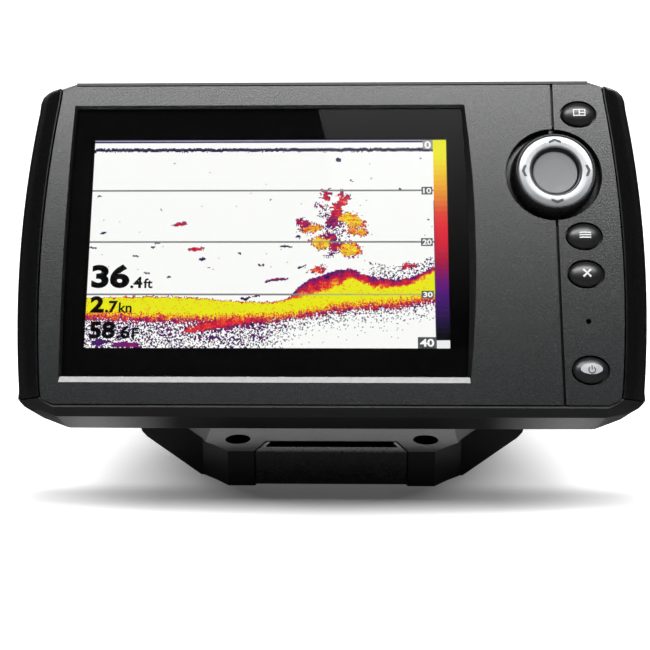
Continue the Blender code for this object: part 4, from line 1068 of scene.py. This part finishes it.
ring = turned("pad_ring", arc_profile([
    (8.56, 2.62), (8.56, 3.25), (8.85, 3.52), (10.6, 3.55), (12.25, 3.42), (12.62, 3.0), (12.62, 2.62), (8.56, 2.62)], 0.14, 3), NAV0, 96)
bm = bmesh.new()
bm.from_mesh(ring.data)
bmesh.ops.remove_doubles(bm, verts=bm.verts, dist=1e-7)
bm.to_mesh(ring.data)
bm.free()
smooth(ring, 40)
wear_mat(ring, "silver")
place(ring, "nav_pad", "silver_paint", "nav_ring")


def ring_h(r):
    pts = [(8.85, 3.52), (10.6, 3.55), (12.25, 3.42)]
    for (r0, z0), (r1, z1) in zip(pts, pts[1:]):
        if r <= r1:
            return z0 + (z1 - z0) * (r - r0) / (r1 - r0)
    return 3.42


for i in range(4):
    a = math.radians(90 * i)
    L, T, W = 2.0, 1.0, 0.75
    shape = [(-T, -L), (-T + W * 1.25, -L), (T * 0.75, 0), (-T + W * 1.25, L), (-T, L), (T * 0.75 - W * 1.3, 0)]
    R = Matrix.Rotation(a, 2)
    loop = [tuple(R @ Vector((x + 10.72, y))) for x, y in shape]
    obj = plate(f"pad_chevron_{i + 1}", [loop], 0, 0.02, matrix=Matrix.Identity(4))
    bm = bmesh.new()
    bm.from_mesh(obj.data)
    bmesh.ops.triangulate(bm, faces=bm.faces)
    bmesh.ops.subdivide_edges(bm, edges=bm.edges, cuts=1)
    for vert in bm.verts:
        vert.co.z += ring_h(math.hypot(vert.co.x, vert.co.y)) + 0.025
        vert.co.x += NAV_U
        vert.co.y += NAV_V
    bm.transform(TO_ROW)
    bm.to_mesh(obj.data)
    bm.free()
    wear_mat(obj, "chevron")
    place(obj, "nav_pad", "silver_paint")

# ---- rear shell, fittings and bracket: the CAD shapes with rounded edges
detailed_copy("rear_housing", "rear_shell", "rear", "head", "black_moulded", 0.3, 3, 24, dissolve=False)
detailed_copy("mount_bracket", "bracket_moulding", "bracket", "bracket", "black_moulded", 0.7, 3, 20)
insert = detailed_copy("base_insert", "foot_insert", "insert", "bracket", "black_moulded", 0.3, 2, 20)
# every upward-facing face of the insert takes the lighter lip colour: painted light on the top surfaces
insert.data.materials.append(M["lip"])
for p in insert.data.polygons:
    if p.normal.z > 0.3:
        p.material_index = 1
detailed_copy("card_door", "card_cover", "seal", "door", "seal_rubber", 0.1, 2, 60)

# ---- CAD nodes that keep their shape
CARRIED = {
    "glass": ["lens"], "seal": ["lens_gasket", "housing_seal", "nav_pivot", "arm_washer_left", "arm_washer_right"],
    "white": ["lcd_backlight"], "aluminium": ["lcd_frame", "heat_spreader", "supply_capacitor"], "silicone": ["keypad_membrane"],
    "board": ["keypad_board", "main_board"], "sensor": ["light_sensor"], "component": ["processor", "sonar_transformer", "sounder", "vent_plug"],
    "steel": ["card_door_pin", "card_socket", "knob_stud_left", "knob_stud_right"] + [f"board_screw_{i}" for i in range(1, 5)]
             + [f"housing_screw_{i}" for i in range(1, 7)],
    "brass": ["pivot_insert_left", "pivot_insert_right"], "amber": ["display_flex"],
    "rear": ["knob_left", "knob_right"],
}
for mat, names in CARRIED.items():
    for n in names:
        wear_mat(NODES[n], mat)
for n in ("power_socket", "sonar_socket", "accessory_socket"):
    wear_mat(NODES[n], "component")

# ================================================================ stage, light, camera
def sweep_white():
    """Matt white sweep that glows: painted light, faint near the part and nearly white further out, so it stays white
    to the horizon; a band in front of the foot is a painted shadow.
    """
    s = Shader("studio_floor")
    tc = s.new("ShaderNodeTexCoord")
    far = s.new("ShaderNodeVectorMath", operation="LENGTH")
    s.t.links.new(tc.outputs["Object"], far.inputs[0])
    d = Sock(s, far.outputs["Value"])
    sep = s.new("ShaderNodeSeparateXYZ")
    s.t.links.new(tc.outputs["Object"], sep.inputs[0])
    x, y = s.m("ABSOLUTE", Sock(s, sep.outputs[0])), Sock(s, sep.outputs[1])
    # a band just in front of the foot, darker in colour and in glow: a painted shadow strip
    line = s.remap(y, -0.062, -0.045, smooth=True) * s.remap(y, -0.040, -0.028, 1.0, 0.0, smooth=True)
    line = line * s.remap(x, 0.100, 0.135, 1.0, 0.0, smooth=True) * s.remap(x, 0.02, 0.06, 0.18, 0.45)
    s.put(s.p.inputs["Base Color"], s.mix(line, (0.80, 0.80, 0.80), (0.0, 0.0, 0.0)))
    s.p.inputs["Roughness"].default_value = 0.6
    s.p.inputs["Specular IOR Level"].default_value = 0.2
    s.p.inputs["Emission Color"].default_value = (1, 1, 1, 1)
    # glow rising with distance from the part: painted light that fills the shade away from the part
    s.put(s.p.inputs["Emission Strength"], s.remap(d, 0.048, 0.112, 0.09, 0.96) * (1.0 - line))
    return s.mat


bm = bmesh.new()
prof = [(-3.0, 0.0), (1.2, 0.0)] + [(1.2 + 0.8 * math.sin(a), 0.8 - 0.8 * math.cos(a)) for a in spaced(0, math.pi / 2, 12)[1:]] + [(2.0, 2.0)]
rows = [[bm.verts.new((x, y, z)) for y, z in prof] for x in (-3.5, 3.5)]
for i in range(len(prof) - 1):
    bm.faces.new((rows[0][i], rows[1][i], rows[1][i + 1], rows[0][i + 1]))
floor = from_bm("studio_sweep", bm)
floor.data.materials.append(sweep_white())
floor.data.shade_smooth()


def area(name, loc, target, size, size_y, radiance, colour=(1, 1, 1)):
    l = bpy.data.lights.new(name, "AREA")
    l.shape = "RECTANGLE"
    l.size, l.size_y, l.color = size, size_y, colour
    l.energy = radiance * math.pi * size * size_y
    o = bpy.data.objects.new(name, l)
    bpy.context.scene.collection.objects.link(o)
    o.location = loc
    o.rotation_euler = (Vector(target) - Vector(loc)).to_track_quat("-Z", "Y").to_euler()
    o.visible_camera = False
    return o


def only(light, state, *objects):
    """Keeps a light on (INCLUDE) or off (EXCLUDE) the given objects."""
    c = bpy.data.collections.new(light.name + "_" + state.lower())
    for o in objects:
        c.objects.link(o)
    light.light_linking.receiver_collection = c
    for item in c.collection_objects:
        item.light_linking.link_state = state


def front_soft(name, elevation, distance, *size_and_radiance):
    a = math.radians(elevation)
    return area(name, (0.0, -0.03 - distance * math.cos(a), 0.08 + distance * math.sin(a)), (0, -0.03, 0.08), *size_and_radiance)


# main softbox: wide and low, above and in front, its lower edge just over what the window mirrors to the camera;
# the floor takes the same light from a little higher, so the shadow stays under the head
only(front_soft("key_soft", 62.4, 1.25, 1.7, 0.36, 13.0), "EXCLUDE", floor)
only(front_soft("floor_soft", 66.4, 1.25, 1.7, 0.36, 12.5), "INCLUDE", floor)
# a strip behind and above that picks out the upward edges
only(area("rim_strip", (0.0, 0.72, 0.80), (0, -0.03, 0.08), 1.6, 0.35, 12.0), "EXCLUDE", floor)

# what the glossy surfaces mirror in place of the white sweep: a dark table with a pale patch at each side, a pale wall behind
floor.visible_glossy = False


def mirrored(name, corners, strength):
    s = Shader(name)
    tc = s.new("ShaderNodeTexCoord")
    sep = s.new("ShaderNodeSeparateXYZ")
    s.t.links.new(tc.outputs["Object"], sep.inputs[0])
    s.p.inputs["Base Color"].default_value = (0, 0, 0, 1)
    s.p.inputs["Specular IOR Level"].default_value = 0.0
    s.p.inputs["Emission Color"].default_value = (1, 1, 1, 1)
    s.put(s.p.inputs["Emission Strength"], strength(s, *(Sock(s, o) for o in sep.outputs)))
    bm = bmesh.new()
    bm.faces.new([bm.verts.new(p) for p in corners])
    obj = from_bm(name, bm)
    obj.data.materials.append(s.mat)
    obj.visible_camera = obj.visible_diffuse = obj.visible_shadow = obj.visible_transmission = False
    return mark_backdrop(obj) or obj


def table_glow(s, x, y, z):
    ax = s.m("ABSOLUTE", x)
    side = s.remap(ax, 0.060, 0.088) * s.remap(ax, 0.096, 0.114, 1.0, 0.12)
    front = s.remap(y, -0.062, -0.045, 1.0, 0.0)
    return 0.04 + front * 0.13 + side * (1.0 - front) * s.remap(y, 0.0, 0.05, 1.0, 0.2) * 0.80


mirrored("mirrored_table", ((-1.5, -1.5, 0), (1.5, -1.5, 0), (1.5, 1.0, 0), (-1.5, 1.0, 0)), table_glow)
mirrored("mirrored_wall", ((-1.2, 1.0, 0), (1.2, 1.0, 0), (1.2, 1.0, 0.5), (-1.2, 1.0, 0.5)), lambda s, x, y, z: s.remap(z, 0.0, 0.5, 0.60, 0.35))

# a dim card that only the window mirrors, fading downwards, its left edge slanting
mirrored(
    "window_card", ((0.010, -0.70, 0.56), (0.60, -0.70, 0.56), (0.60, -0.70, 1.00), (-0.038, -0.70, 1.00), (-0.022, -0.70, 0.913)),
    lambda s, x, y, z: s.remap(z, 0.60, 0.99) * s.remap(z, 0.60, 0.99, 0.36, 0.88),
)

world = bpy.data.worlds.new("studio")
bpy.context.scene.world = world
world.use_nodes = True
world.node_tree.nodes["Background"].inputs[0].default_value = (1, 1, 1, 1)
world.node_tree.nodes["Background"].inputs[1].default_value = 0.03

e, yaw, roll = math.radians(15.314), math.radians(-1.313), math.radians(-0.285)
fwd = Vector((math.sin(yaw) * math.cos(e), math.cos(yaw) * math.cos(e), -math.sin(e)))
right = Vector((math.cos(yaw), -math.sin(yaw), 0))
up = right.cross(fwd)
r2 = right * math.cos(roll) + up * math.sin(roll)
u2 = -right * math.sin(roll) + up * math.cos(roll)
cam = bpy.data.cameras.new("camera")
cam.lens, cam.sensor_width, cam.clip_start = 36 * 1000 / 650, 36, 0.01
cam_o = bpy.data.objects.new("camera", cam)
bpy.context.scene.collection.objects.link(cam_o)
mat = Matrix((r2, u2, -fwd)).transposed().to_4x4()
mat.translation = Vector((5.798, -372.636, 154.936)) * MM
cam_o.matrix_world = mat
bpy.context.scene.camera = cam_o
bpy.context.scene.view_settings.view_transform = "Standard"
